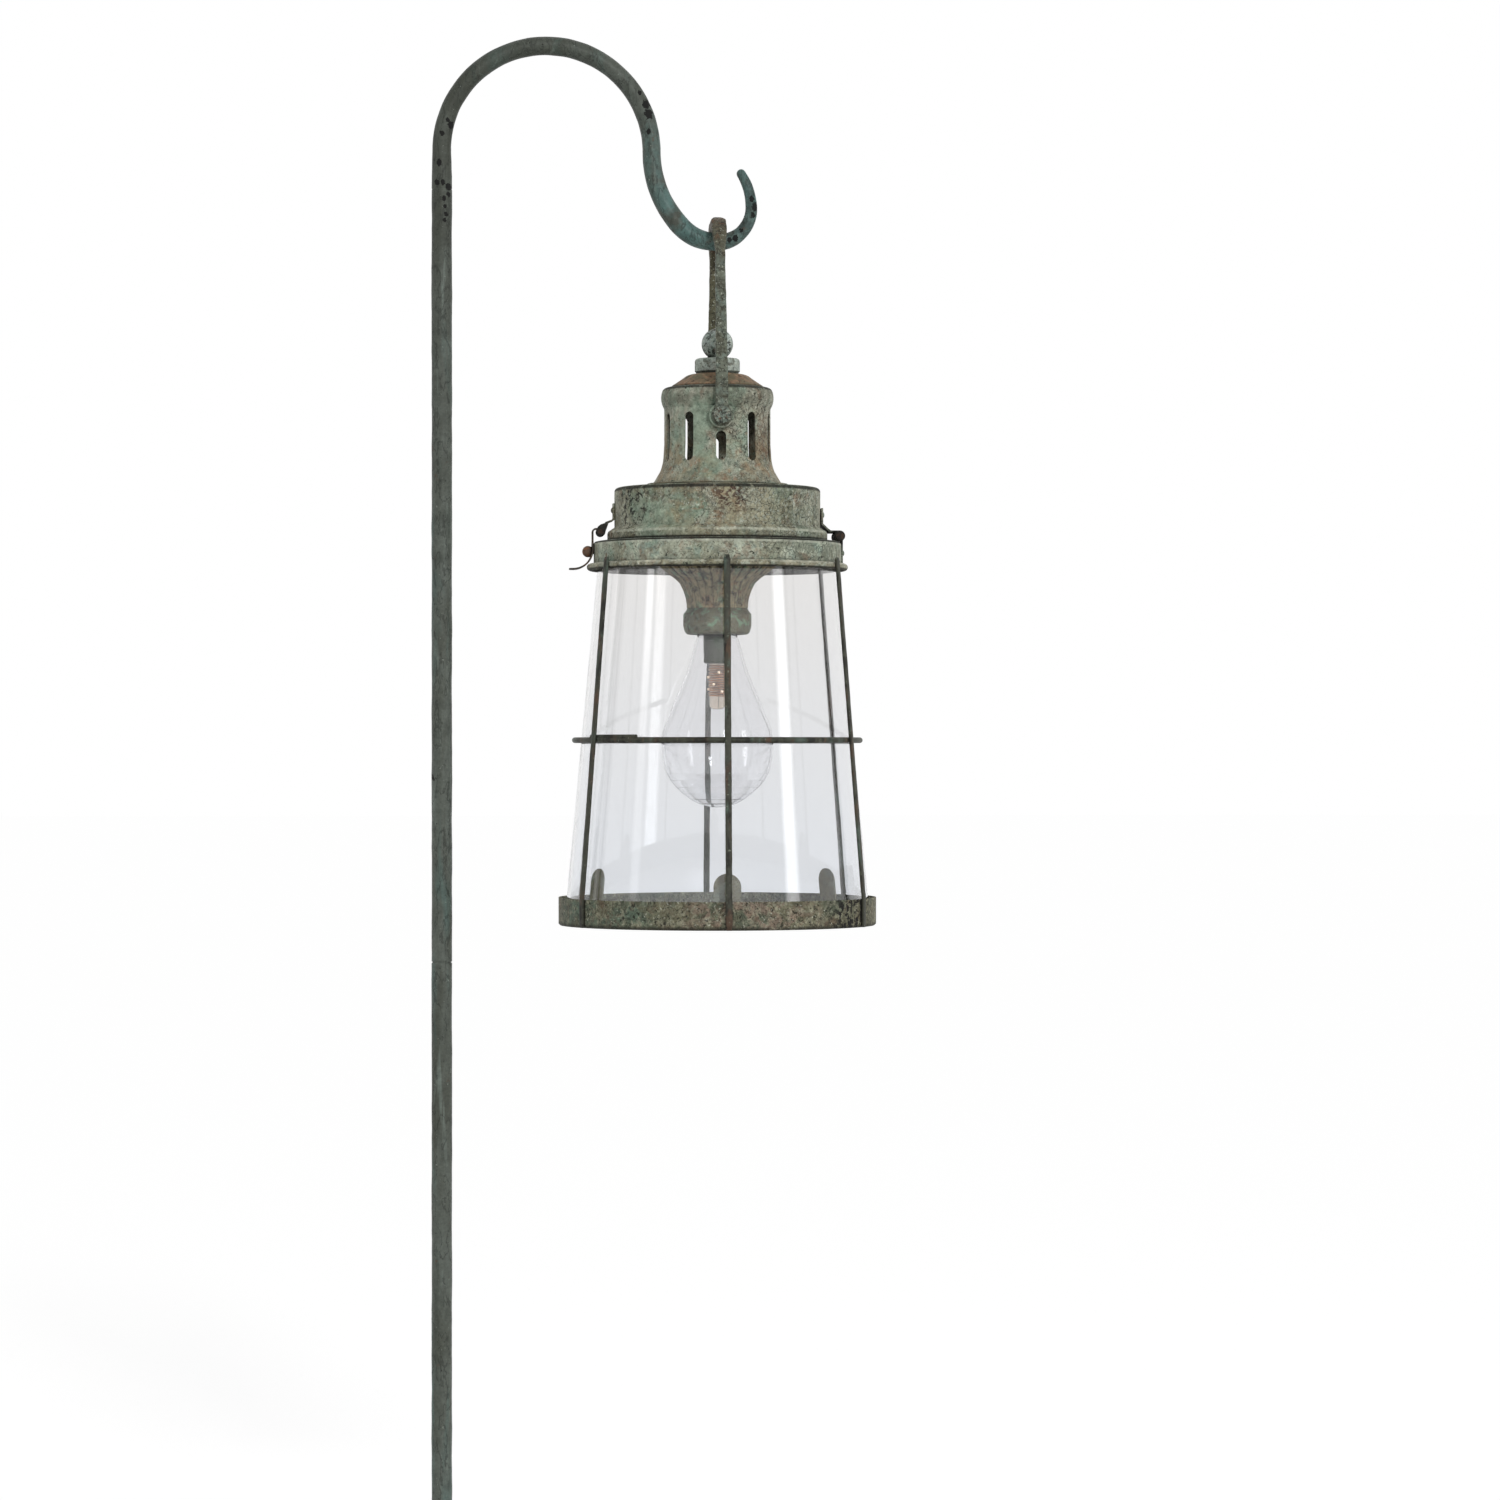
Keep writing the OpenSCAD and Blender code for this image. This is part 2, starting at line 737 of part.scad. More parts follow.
module pivot_bosses() {
    color("#6d7a70") lantern() difference() {
        for (side = [-1, 1]) translate([0, side * boss_y, pivot_h]) rotate([side * 90, 0, 0])
            cylinder(r = boss_r, h = boss_y - chimney_r + 3);
        rod(chimney_r + seat, pivot_h - 20, pivot_h + 20);
        spun(chimney_path, lid_wall + 2 * seat);
        translate([0, 0, pivot_h]) rotate([90, 0, 0])
            cylinder(r = pivot_r + pin_gap, h = 3 * eye_y, center = true);
    }
}

module pivot_screws() {
    shank_len = eye_y + leg_t / 2 + run_gap - (chimney_r - 5);
    color("#7f8a80") lantern() for (side = [0, 180])
        rotate([0, 0, side]) translate([0, -(chimney_r - 5), pivot_h]) rotate([90, 0, 0]) {
            cylinder(r = pivot_r, h = shank_len);
            translate([0, 0, shank_len]) rotate_extrude() polygon([
                [0, 0], [screw_head_r, 0], [screw_head_r, screw_head_t - 1.4],
                [screw_head_r - 1.4, screw_head_t - 0.4], [screw_head_r - 3.4, screw_head_t],
                [0, screw_head_t]
            ]);
        }
}

// Middle line of the lid's sheet, from its hole to the foot of its rim
drum_path = let (mid = lid_wall / 2, r = drum_r - lid_wall / 2, rim = rim_r - lid_wall / 2) concat(
    [[drum_hole_r, drum_h + top_rise - mid]],
    arc([r - shoulder_r, drum_h - mid - shoulder_r], shoulder_r, 86.5, 0, 5),
    [
        [r, rim_h + flare_h], [rim - 0.6, rim_h + 0.5], [rim, rim_h - 1],
        [rim, half_gap]
    ]
);

module lid_drum() {
    color("#7c8c80") lantern() difference() {
        spun(drum_path, lid_wall);
        rotate([0, 0, 45]) around(4) translate([flange_rivet_r, 0, 0])
            rod(rivet_r + seat, drum_h, flange_z + 5);
        for (side = [-1, 1]) translate([0, side * leaf_w / 4, hinge_rivet_z]) rotate([0, 90, 0])
            cylinder(r = rivet_r + seat, h = rim_r);
        for (side = [-1, 1]) translate([-rim_r, side * bracket_w / 4, bracket_rivet_z]) rotate([0, 90, 0])
            cylinder(r = rivet_r + seat, h = rim_r);
    }
}

// Upper hinge leaf: a strap up the drum's side, bent out over the rim to two knuckles
module hinge_leaf_lid() {
    wall_x = drum_r + seat + leaf_t / 2;
    path = [
        [wall_x, hinge_rivet_z + 6], [wall_x, rim_h + flare_h + 3.6],
        [rim_r - 0.6, rim_h + 3.4], [rim_r + 2, hinge_z + hinge_r - leaf_t / 2],
        [hinge_x, hinge_z + hinge_r - leaf_t / 2]
    ];
    color("#3c3a36") lantern() difference() {
        union() {
            rotate([90, 0, 0]) linear_extrude(height = leaf_w, center = true)
                polygon(sheet_outline(path, leaf_t));
            translate([hinge_x, 0, hinge_z]) rotate([90, 0, 0])
                cylinder(r = hinge_r, h = leaf_w, center = true);
        }
        translate([hinge_x, 0, hinge_z]) rotate([90, 0, 0])
            cylinder(r = hinge_r + 0.6, h = knuckle_len + 2 * run_gap, center = true);
        translate([hinge_x, 0, hinge_z]) rotate([90, 0, 0])
            cylinder(r = hinge_pin_r + 0.02, h = leaf_w + 2, center = true);
        rod(drum_r + seat, -1, drum_h);
        for (side = [-1, 1]) translate([0, side * leaf_w / 4, hinge_rivet_z]) rotate([0, 90, 0])
            cylinder(r = rivet_r + seat, h = 2 * rim_r);
    }
}

module hinge_pin() {
    head_t = 1.6;
    color("#8a8c88") lantern() translate([hinge_x, 0, hinge_z]) rotate([90, 0, 0]) {
        cylinder(r = hinge_pin_r, h = leaf_w + 2 * seat + 2, center = true);
        for (side = [-1, 1]) translate([0, 0, side * (leaf_w / 2 + seat + head_t / 2)])
            cylinder(r = hinge_pin_r + 1.2, h = head_t, center = true);
    }
}

// Hasp bracket: a plate riveted to the drum that slopes out to two lugs
module hasp_bracket() {
    wall_x = drum_r + seat + leaf_t / 2;
    path = [
        [wall_x, bracket_rivet_z + 6], [wall_x, rim_h + flare_h + 7.8],
        [wall_x + 2, rim_h + flare_h + 6.3], [hasp_x - 4.5, hasp_z + 8.2]
    ];
    lug_t = (bracket_w - hasp_knuckle_len - 2 * run_gap) / 2;
    color("#403f3a") lantern() rotate([0, 0, 180]) difference() {
        union() {
            rotate([90, 0, 0]) linear_extrude(height = bracket_w, center = true)
                polygon(sheet_outline(path, leaf_t));
            for (side = [-1, 1]) translate([0, side * (bracket_w - lug_t) / 2, 0]) rotate([90, 0, 0])
                linear_extrude(height = lug_t, center = true) {
                    translate([hasp_x, hasp_z]) circle(r = 4.2);
                    polygon([
                        [hasp_x - 7.5, hasp_z + 9.3], [hasp_x - 4.2, hasp_z],
                        [hasp_x + 4.1, hasp_z + 0.8], [hasp_x + 2.2, hasp_z + 5.2], [hasp_x, hasp_z + 6.8]
                    ]);
                }
        }
        translate([hasp_x, 0, hasp_z]) rotate([90, 0, 0])
            cylinder(r = hasp_pin_r + 0.02, h = bracket_w + 2, center = true);
        rod(drum_r + seat, -1, drum_h);
        for (side = [-1, 1]) translate([0, side * bracket_w / 4, bracket_rivet_z]) rotate([0, 90, 0])
            cylinder(r = rivet_r + seat, h = 2 * rim_r);
    }
}

module hasp_pin() {
    head_t = 1.2;
    color("#8a8c88") lantern() translate([-hasp_x, 0, hasp_z]) rotate([90, 0, 0]) {
        cylinder(r = hasp_pin_r, h = bracket_w + 2 * seat + 2, center = true);
        for (side = [-1, 1]) translate([0, 0, side * (bracket_w / 2 + seat + head_t / 2)])
            cylinder(r = hasp_pin_r + 1.1, h = head_t, center = true);
    }
}

// Rivets of the hinge leaf and of the hasp bracket
module lid_rivets() {
    out = drum_r + leaf_t + 2 * seat;
    color("#8a9187") lantern() {
        for (side = [-1, 1]) translate([out, side * leaf_w / 4, hinge_rivet_z]) rotate([0, 90, 0])
            rivet(rivet_r, 3.2, leaf_t + lid_wall + rivet_tail);
        for (side = [-1, 1]) translate([-out, side * bracket_w / 4, bracket_rivet_z]) rotate([0, -90, 0])
            rivet(rivet_r, 2.8, leaf_t + lid_wall + rivet_tail);
    }
}

// ---------- hasp ----------

// Spring strap: over the pin, down the collar's side, and curled out to a finger tab
module hasp_strap() {
    top_z = hasp_z + hasp_knuckle_r - hasp_t / 2;
    path = concat(
        [[hasp_x, top_z], [strap_x - 3, top_z]],
        after_first(arc([strap_x - 3, top_z - 3], 3, 90, 0, 4)),
        arc([strap_x + strap_bend_r, strap_bend_z], strap_bend_r, 180, 270, 10),
        [[strap_x + strap_bend_r + 3.7, strap_bend_z - strap_bend_r]]
    );
    tail_x = strap_x + strap_bend_r + 4;
    neck_w = hasp_knuckle_len / 2;
    wide_w = hasp_w / 2;
    slot_top = catch_z + catch_r - 0.3;
    slot_bottom = catch_z - catch_r - 2.6;
    color("#4b463f") lantern() rotate([0, 0, 180]) difference() {
        intersection() {
            union() {
                rotate([90, 0, 0]) linear_extrude(height = hasp_w, center = true)
                    polygon(sheet_outline(path, hasp_t));
                translate([hasp_x, 0, hasp_z]) rotate([90, 0, 0])
                    cylinder(r = hasp_knuckle_r, h = hasp_knuckle_len, center = true);
            }
            rotate([90, 0, 90]) linear_extrude(height = 2 * tail_x) polygon([
                [-neck_w, hasp_z + 6], [neck_w, hasp_z + 6], [neck_w, 0.8], [wide_w, -2.6],
                [wide_w, -30], [-wide_w, -30], [-wide_w, -2.6], [-neck_w, 0.8]
            ]);
            translate([0, 0, -40]) linear_extrude(height = 80) polygon([
                [0, -wide_w], [tail_x - 7, -wide_w], [tail_x - 2, -wide_w + 2.4], [tail_x, -wide_w + 5],
                [tail_x, wide_w - 5], [tail_x - 2, wide_w - 2.4], [tail_x - 7, wide_w], [0, wide_w]
            ]);
        }
        translate([hasp_x, 0, hasp_z]) rotate([90, 0, 0])
            cylinder(r = hasp_pin_r + pin_gap, h = hasp_w, center = true);
        translate([hasp_x, -catch_r - 0.5, slot_bottom])
            cube([strap_bend_r, 2 * catch_r + 1, slot_top - slot_bottom]);
    }
}

// ---------- collar and cage ----------

module collar() {
    mid = sheet / 2;
    r = collar_r - mid;
    path = concat(
        [[ledge_in_r, ledge_z - mid]],
        arc([r - 1.5, ledge_z - mid - 1.5], 1.5, 90, 0, 3),
        [[r, -collar_h]]
    );
    color("#7f9085") lantern() difference() {
        union() {
            spun(path, sheet);
            tube(collar_lip_r, collar_lip_r - sheet, ledge_z - mid, collar_lip_h);
        }
        for (side = [-1, 1]) translate([0, side * knuckle_len / 4, collar_rivet_z]) rotate([0, 90, 0])
            cylinder(r = rivet_r + seat, h = 2 * collar_r);
        translate([-2 * collar_r, 0, catch_z]) rotate([0, 90, 0])
            cylinder(r = catch_shank_r + seat, h = 2 * collar_r);
    }
}

module collar_bead() {
    color("#6a7167") lantern() rotate_extrude() translate([bead_c, bead_z]) circle(r = bead_r, $fn = 32);
}

// Lower hinge leaf: one knuckle with a strap down the collar's side
module hinge_leaf_collar() {
    wall_x = collar_r + seat + leaf_t / 2;
    foot_z = bead_z + bead_r + 0.6;
    path = [[wall_x, hinge_z + 1.5], [wall_x, foot_z]];
    color("#3c3a36") lantern() difference() {
        union() {
            rotate([90, 0, 0]) linear_extrude(height = knuckle_len, center = true)
                polygon(sheet_outline(path, leaf_t));
            translate([hinge_x, 0, hinge_z]) rotate([90, 0, 0])
                cylinder(r = hinge_r, h = knuckle_len, center = true);
        }
        translate([hinge_x, 0, hinge_z]) rotate([90, 0, 0])
            cylinder(r = hinge_pin_r + pin_gap, h = knuckle_len + 2, center = true);
        rod(collar_r + seat, -collar_h, half_gap);
        for (side = [-1, 1]) translate([0, side * knuckle_len / 4, collar_rivet_z]) rotate([0, 90, 0])
            cylinder(r = rivet_r + seat, h = 2 * collar_r);
    }
}

module collar_rivets() {
    color("#8a9187") lantern() for (side = [-1, 1])
        translate([collar_r + leaf_t + 2 * seat, side * knuckle_len / 4, collar_rivet_z]) rotate([0, 90, 0])
            rivet(rivet_r, 2.9, leaf_t + sheet + rivet_tail);
}

// Ball-headed catch, with its shank riveted over behind the collar's wall
module catch_stud() {
    back = 1.4;
    color("#6e5a4b") lantern() rotate([0, 0, 180]) translate([0, 0, catch_z]) rotate([0, 90, 0]) {
        translate([0, 0, collar_r - sheet - back]) cylinder(r = catch_shank_r + 1, h = back - 2 * seat);
        translate([0, 0, collar_r - sheet - back / 2])
            cylinder(r = catch_shank_r, h = catch_x - collar_r + sheet + back / 2);
        translate([0, 0, catch_x]) sphere(r = catch_r, $fn = 64);
    }
}

// Flat bar from the bead to the bottom of the band, at a position numbered from the front
module cage_bar(number) {
    top_z = bead_z + 7;
    line = function (z) bar_top_r + bar_slope * (bead_z - z);
    path = [
        [line(top_z), top_z], [line(band_top_z + 6), band_top_z + 6],
        [bar_foot_r, band_top_z + 1.5], [bar_foot_r, -cage_h]
    ];
    color("#4a4a40") lantern() rotate([0, 0, -90 + (number - 1) * 360 / bar_count]) rotate([90, 0, 0])
        linear_extrude(height = bar_w, center = true) polygon(sheet_outline(path, bar_t));
}

// Middle ring, lapped on itself at the front left
module mid_ring() {
    lap_angle = 27;
    lap_start = 205;
    wire_r = ring_wire_d / 2;
    lap_z = -ring_drop + wire_r * 1.1;
    color("#4f554c") lantern() {
        rotate_extrude() translate([ring_r, -ring_drop]) circle(r = wire_r, $fn = 32);
        rotate([0, 0, lap_start]) rotate_extrude(angle = lap_angle)
            translate([ring_r - wire_r * 0.3, lap_z]) circle(r = wire_r * 0.8, $fn = 32);
    }
}

module bottom_band() {
    mid = band_wall / 2;
    path = [
        [band_r - mid, band_top_z], [band_r - mid, -cage_h + mid + 1],
        [band_r - mid - 1, -cage_h + mid], [band_r - 7, -cage_h + mid]
    ];
    color("#6f7767") lantern() spun(path, band_wall);
}

// Floor with a raised centre and a shallow ring
module floor_pan() {
    mid = floor_t / 2;
    rise = 4;
    path = [
        [1, floor_z + mid + rise], [floor_rise_r - 6, floor_z + mid + rise],
        [floor_rise_r, floor_z + mid + rise - 1.2], [floor_rise_r + 6, floor_z + mid + 1],
        [floor_rise_r + 10, floor_z + mid], [band_r - band_wall - floor_play, floor_z + mid]
    ];
    color("#6a6e60") lantern() union() {
        spun(path, floor_t);
        rod(1.5, floor_z + rise, floor_z + rise + floor_t);
    }
}

// Round-topped tabs inside the glass, each with a foot on the floor
module glass_tabs() {
    foot_z = floor_z + floor_t + seat + tab_t / 2;
    path = [
        [tab_foot_r - tab_foot_len, foot_z], [tab_foot_r - 1, foot_z], [tab_foot_r, foot_z + 1.2],
        [tab_foot_r - tab_lean, foot_z + tab_h]
    ];
    color("#6f7767") lantern() rotate([0, 0, -90]) around(tab_count) intersection() {
        rotate([90, 0, 0]) linear_extrude(height = tab_w, center = true)
            polygon(sheet_outline(path, tab_t));
        union() {
            translate([0, -tab_w / 2, foot_z - tab_t]) cube([band_r, tab_w, tab_h - tab_w / 2 + tab_t]);
            translate([0, 0, foot_z + tab_h - tab_w / 2]) rotate([0, 90, 0])
                cylinder(d = tab_w, h = band_r);
        }
    }
}

module lower_gasket() {
    color("#3a3935") lantern() tube(band_r - band_wall - floor_play - 0.1, glass_bottom_r - glass_t - 1.2,
        floor_z + floor_t + seat, glass_bottom_z - seat);
}

module upper_gasket() {
    color("#3a3935") lantern() tube(glass_top_r + 2, glass_top_r - glass_t - 1.5,
        glass_top_z + seat, ledge_z - sheet - seat);
}

module glass_chimney() {
    color("#cfdbe2", 0.35) lantern() rotate_extrude() polygon([
        [glass_bottom_r, glass_bottom_z], [glass_top_r, glass_top_z],
        [glass_top_r - glass_t, glass_top_z], [glass_bottom_r - glass_t, glass_bottom_z]
    ]);
}

// ---------- lamp ----------

module lamp_deck() {
    color("#6a6e60") lantern() tube(deck_r, lead_hole_r + 1, deck_z, deck_z + deck_t);
}

// Trumpet-shaped canopy whose pleats die out at the waist
canopy_curve = spline([
    [canopy_top_r, canopy_z], [canopy_top_r - 12, canopy_z - 11.5], [waist_r + 24.2, canopy_z - 22.6],
    [waist_r + 15.4, canopy_z - 29.8], [waist_r + 6.2, canopy_z - 37.5], [waist_r + 1, canopy_z - 51],
    [waist_r, canopy_z - canopy_h]
], 2);
pleat_points = 4;
function pleat_ring(p, inset) =
    let (
        share = max(0, (p[0] - waist_r - 1) / (canopy_top_r - waist_r)),
        n = pleat_count * pleat_points
    )
    [
        for (k = [0:n - 1])
            let (
                a = 360 * k / n,
                r = p[0] - inset + pleat_depth / 2 * sqrt(share) * cos(360 * k / pleat_points)
            )
            [r * cos(a), r * sin(a), p[1]]
    ];

// Closed wall between an outer and an inner set of rings
module walled_skin(outer, inner) {
    n = len(outer[0]);
    rings = concat(outer, [for (i = [len(inner) - 1:-1:0]) inner[i]]);
    m = len(rings);
    points = [for (ring = rings) each ring];
    faces = [
        for (i = [0:m - 1]) for (k = [0:n - 1])
            let (next = (k + 1) % n, up = (i + 1) % m)
            [i * n + k, up * n + k, up * n + next, i * n + next]
    ];
    polyhedron(points = points, faces = faces, convexity = 8);
}

module canopy() {
    outer = [for (p = canopy_curve) pleat_ring(p, 0)];
    inner = [for (p = canopy_curve) pleat_ring(p, canopy_wall)];
    color("#5f6a58") lantern() walled_skin(outer, inner);
}

// Cup that closes the canopy's waist and takes the bulb's neck
module gallery_cup() {
    mid = cup_wall / 2;
    r = cup_r - mid;
    path = concat(
        [[tube_r + seat, cup_z - mid], [waist_r - 1, cup_z - mid]],
        arc([r - 3, cup_z - 6.5], 3, 60, 0, 3),
        [[r, cup_z - 16], [r - 1, cup_bottom_z + 4]],
        arc([r - 5, cup_bottom_z + mid + 4], 4, -20, -90, 4),
        [[cup_rim_r, cup_bottom_z + mid]]
    );
    color("#5f7a66") lantern() spun(path, cup_wall);
}

// Threaded tube that hangs the cup and the sleeve from the deck and carries the lead
module lamp_tube() {
    z1 = deck_z - seat;
    color("#9a8f6c") lantern() difference() {
        union() {
            rod(tube_flange_r, z1 - tube_flange_t, z1);
            rod(tube_r, sleeve_top_z - sleeve_head_t, z1 - 1);
        }
        rod(tube_bore_r, sleeve_top_z - sleeve_head_t - 1, z1 + 1);
    }
}

module lamp_sleeve() {
    round_r = 2;
    wall = 1.6;
    z0 = sleeve_bottom_z;
    color("#4c6650") lantern() difference() {
        rotate_extrude() polygon(concat(
            [[0, z0]],
            arc([sleeve_r - round_r, z0 + round_r], round_r, -90, 0, 4),
            [[sleeve_r, sleeve_top_z], [0, sleeve_top_z]]
        ));
        rod(tube_r + seat, sleeve_top_z - sleeve_head_t, sleeve_top_z + 1);
        rod(sleeve_r - wall, z0 + 12, sleeve_top_z - sleeve_head_t);
        rod(stick_r + seat, z0 - 1, z0 + 13);
    }
}

// Clear rod with a rounded end that carries the light string
module light_stick() {
    edge = stick_r * 0.6;
    color("#d8c9b4", 0.7) lantern() rotate_extrude() polygon(concat(
        [[0, sleeve_bottom_z + 12], [0, stick_tip_z]],
        arc([stick_r - edge, stick_tip_z + edge], edge, -90, 0, 6),
        [[stick_r, sleeve_bottom_z + 12]]
    ));
}

// Light points in a spiral up the rod
module led_beads() {
    color("#f1ead2") lantern() for (i = [0:led_count - 1])
        rotate([0, 0, i * 137.5])
            translate([stick_r + led_r + seat, 0, sleeve_bottom_z - 4 - i * led_string_len / led_count])
                sphere(r = led_r, $fn = 24);
}

// Pear-shaped envelope, whose neck ends in a flange on the gasket
bulb_shape = spline([
    [neck_r, bulb_flange_z], [neck_r, cup_bottom_z + 3], [neck_r + 1.4, cup_bottom_z - 3],
    [neck_r + 5.6, cup_bottom_z - 17.2], [neck_r + 10.4, cup_bottom_z - 33.5],
    [bulb_r - 9, cup_bottom_z - 67.9], [bulb_r - 1.6, cup_bottom_z - 87], [bulb_r, cup_bottom_z - 102],
    [bulb_r - 2.2, bulb_tip_z + 38], [bulb_r * 0.84, bulb_tip_z + 25], [bulb_r * 0.61, bulb_tip_z + 12.7],
    [bulb_r * 0.33, bulb_tip_z + 3.6], [0, bulb_tip_z]
], 2);
function inset_point(p, t) = [
    for (i = [0:len(p) - 1])
        i == 0 ? [p[i][0] - t, p[i][1]]
        : i == len(p) - 1 ? [0, p[i][1] + t]
        : p[i] - path_normal(p, i) * t
];

module bulb_glass() {
    inner = inset_point(bulb_shape, bulb_t);
    color("#e6eef2", 0.3) lantern() rotate_extrude() polygon(concat(
        [[neck_r + bulb_flange_w, bulb_top_z], [neck_r + bulb_flange_w, bulb_flange_z]],
        bulb_shape,
        [for (i = [len(inner) - 1:-1:0]) inner[i]],
        [[neck_r - bulb_t, bulb_top_z]]
    ));
}

module neck_gasket() {
    color("#33352f") lantern()
        tube(cup_rim_r + 2, neck_r + 0.4, cup_bottom_z + cup_wall + seat, neck_gasket_z);
}

// ---------- battery box ----------

module battery_box() {
    color("#2f3330") lantern() difference() {
        translate([-box_x / 2, -box_y / 2, box_z]) cube([box_x, box_y, box_floor + box_in_z]);
        translate([-box_in_x / 2, -box_in_y / 2, box_z + box_floor])
            cube([cell_pocket_x, box_in_y, box_in_z + 1]);
        translate([box_in_x / 2 - board_bay, -box_in_y / 2, box_z + box_floor])
            cube([board_bay, box_in_y, box_in_z + 1]);
        rod(lead_hole_r, box_z - 1, box_z + box_floor + 1);
    }
}

module battery_cells() {
    color("#3f6a55") lantern() for (i = [0:cell_count - 1])
        translate([cells_x + i * cell_pitch, 0, box_z + box_floor + seat + cell_d / 2])
            rotate([i % 2 == 0 ? 90 : -90, 0, 0]) {
                translate([0, 0, -cell_len / 2]) cylinder(d = cell_d, h = cell_len - 1.2, $fn = 48);
                translate([0, 0, cell_len / 2 - 1.3]) cylinder(d = 5.5, h = 1.3, $fn = 32);
            }
}

// Spring plates at both ends of each cell
module battery_contacts() {
    color("#b9b9b4") lantern() for (side = [-1, 1]) for (i = [0:cell_count - 1])
        translate([cells_x + i * cell_pitch, side * (box_in_y - contact_t) / 2,
            box_z + box_floor + seat + cell_d / 2])
            rotate([90, 0, 0]) cylinder(d = 9, h = contact_t - 2 * seat, center = true, $fn = 32);
}

module battery_lid() {
    z = box_lid_z;
    window_len = slider_len + slider_travel - 2;
    color("#2f3330") lantern() difference() {
        translate([-box_x / 2, -box_y / 2, z]) cube([box_x, box_y, box_lid_t]);
        translate([board_x - slider_w / 2 + 0.7, -window_len / 2, z - 1])
            cube([slider_w - 1.4, window_len, box_lid_t + 2]);
    }
}

// Slide switch: a base under the lid and a ridged thumb piece through the lid's window
module switch_slider() {
    z1 = box_lid_z - run_gap;
    button_w = slider_w - 1.4 - 2 * run_gap;
    button_len = slider_len - 2 - 2 * run_gap;
    color("#b8b2a2") lantern() translate([board_x, -slider_travel / 2, 0]) union() {
        translate([-slider_w / 2, -slider_len / 2, z1 - slider_base_t])
            cube([slider_w, slider_len, slider_base_t]);
        translate([-button_w / 2, -button_len / 2, z1 - 1])
            cube([button_w, button_len, 1 + run_gap + box_lid_t + slider_h - 0.6]);
        for (i = [-1:1]) translate([-button_w / 2, i * 1.6 - 0.4, z1])
            cube([button_w, 0.8, run_gap + box_lid_t + slider_h]);
    }
}

base_pad();
base_plate();
base_socket();
base_bolt();
base_washer();
pole_plug();
lower_pole();
pole_joiner();
upper_pole();
crook();
bail();
finial_ball();
top_hub();
vent_dome();
finial_stud();
stud_nut();
top_bridge();
vent_chimney();
chimney_rivets();
pivot_bosses();
pivot_screws();
lid_drum();
hinge_leaf_lid();
hinge_pin();
hasp_bracket();
hasp_pin();
lid_rivets();
hasp_strap();
collar();
collar_bead();
hinge_leaf_collar();
collar_rivets();
catch_stud();
cage_bar(1);  // cage_bar_1
cage_bar(2);  // cage_bar_2
cage_bar(3);  // cage_bar_3
cage_bar(4);  // cage_bar_4
cage_bar(5);  // cage_bar_5
cage_bar(6);  // cage_bar_6
mid_ring();
bottom_band();
floor_pan();
glass_tabs();
lower_gasket();
upper_gasket();
glass_chimney();
lamp_deck();
canopy();
gallery_cup();
lamp_tube();
lamp_sleeve();
light_stick();
led_beads();
bulb_glass();
neck_gasket();
battery_box();
battery_cells();
battery_contacts();
battery_lid();
switch_slider();
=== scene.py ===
import math

import bmesh
import bpy
from bpy.props import FloatProperty, FloatVectorProperty, IntProperty, PointerProperty
from mathutils import Euler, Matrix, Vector, noise


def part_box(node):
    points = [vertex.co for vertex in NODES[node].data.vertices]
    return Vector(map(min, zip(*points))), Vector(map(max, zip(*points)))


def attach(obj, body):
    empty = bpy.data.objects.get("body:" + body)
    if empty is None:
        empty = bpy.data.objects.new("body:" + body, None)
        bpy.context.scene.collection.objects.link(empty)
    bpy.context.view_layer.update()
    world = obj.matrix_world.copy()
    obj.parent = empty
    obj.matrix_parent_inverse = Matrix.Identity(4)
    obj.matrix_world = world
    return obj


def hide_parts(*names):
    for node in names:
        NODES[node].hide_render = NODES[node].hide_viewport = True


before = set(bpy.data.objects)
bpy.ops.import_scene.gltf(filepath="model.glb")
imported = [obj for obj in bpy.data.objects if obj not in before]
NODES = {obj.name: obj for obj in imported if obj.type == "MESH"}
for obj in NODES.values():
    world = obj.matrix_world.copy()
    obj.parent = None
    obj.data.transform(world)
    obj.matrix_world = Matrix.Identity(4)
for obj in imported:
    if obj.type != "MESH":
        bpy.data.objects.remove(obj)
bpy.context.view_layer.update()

bl_info = {
    "name": "Lantern floor lamp",
    "version": (1, 0, 0),
    "blender": (4, 5, 0),
    "location": "3D View > Sidebar > Lamp",
    "description": "Dresses the lantern floor lamp: forged rod, bail, cage, glass, light and patinas",
    "category": "Object",
}

# Where the lantern hangs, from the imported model: its axis, its parting line, which is 0.1 mm above the
# deck's underside, and its bottom band
AXIS_X = sum(corner.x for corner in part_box("glass_chimney")) / 2
PARTING_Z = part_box("lamp_deck")[0].z + 0.0001
BAND_LOW, BAND_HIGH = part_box("bottom_band")

# Height of the drum's rim above the parting line, radius inside the drum's wall, and the canopy's pleats
RIM_HEIGHT = 0.008
INSIDE_DRUM = 0.085
PLEATS = 30

# Oily dirt and painted shade that darken corners, gaps and creases: its colour, how near the next surface
# has to be in metres, and the openness at which it starts and at which it is thick
DIRT_AND_SHADE = "#1C1B17"
DIRT_AND_SHADE_REACH, DIRT_AND_SHADE_STARTS, DIRT_AND_SHADE_THICK = 0.006, 0.80, 0.38

# Widths in mm of the light and dark mottling, and the values that most of a noise pattern lies between
MOTTLE_SIZES = (2.4, 8.88)
NOISE_LOW, NOISE_HIGH = 0.32, 0.68

# Metres between the patterns of one coat and the next, and the share of its reach that a placed coat covers
# before it fades
COAT_STEP = (3.1, 1.7, 0.9)
FULL_SHARE = 0.45


def linear(code):
    """sRGB hex colour as linear RGB with full alpha."""
    parts = [int(code[i:i + 2], 16) / 255 for i in (1, 3, 5)]
    return tuple(p / 12.92 if p <= 0.04045 else ((p + 0.055) / 1.055) ** 2.4 for p in parts) + (1.0,)


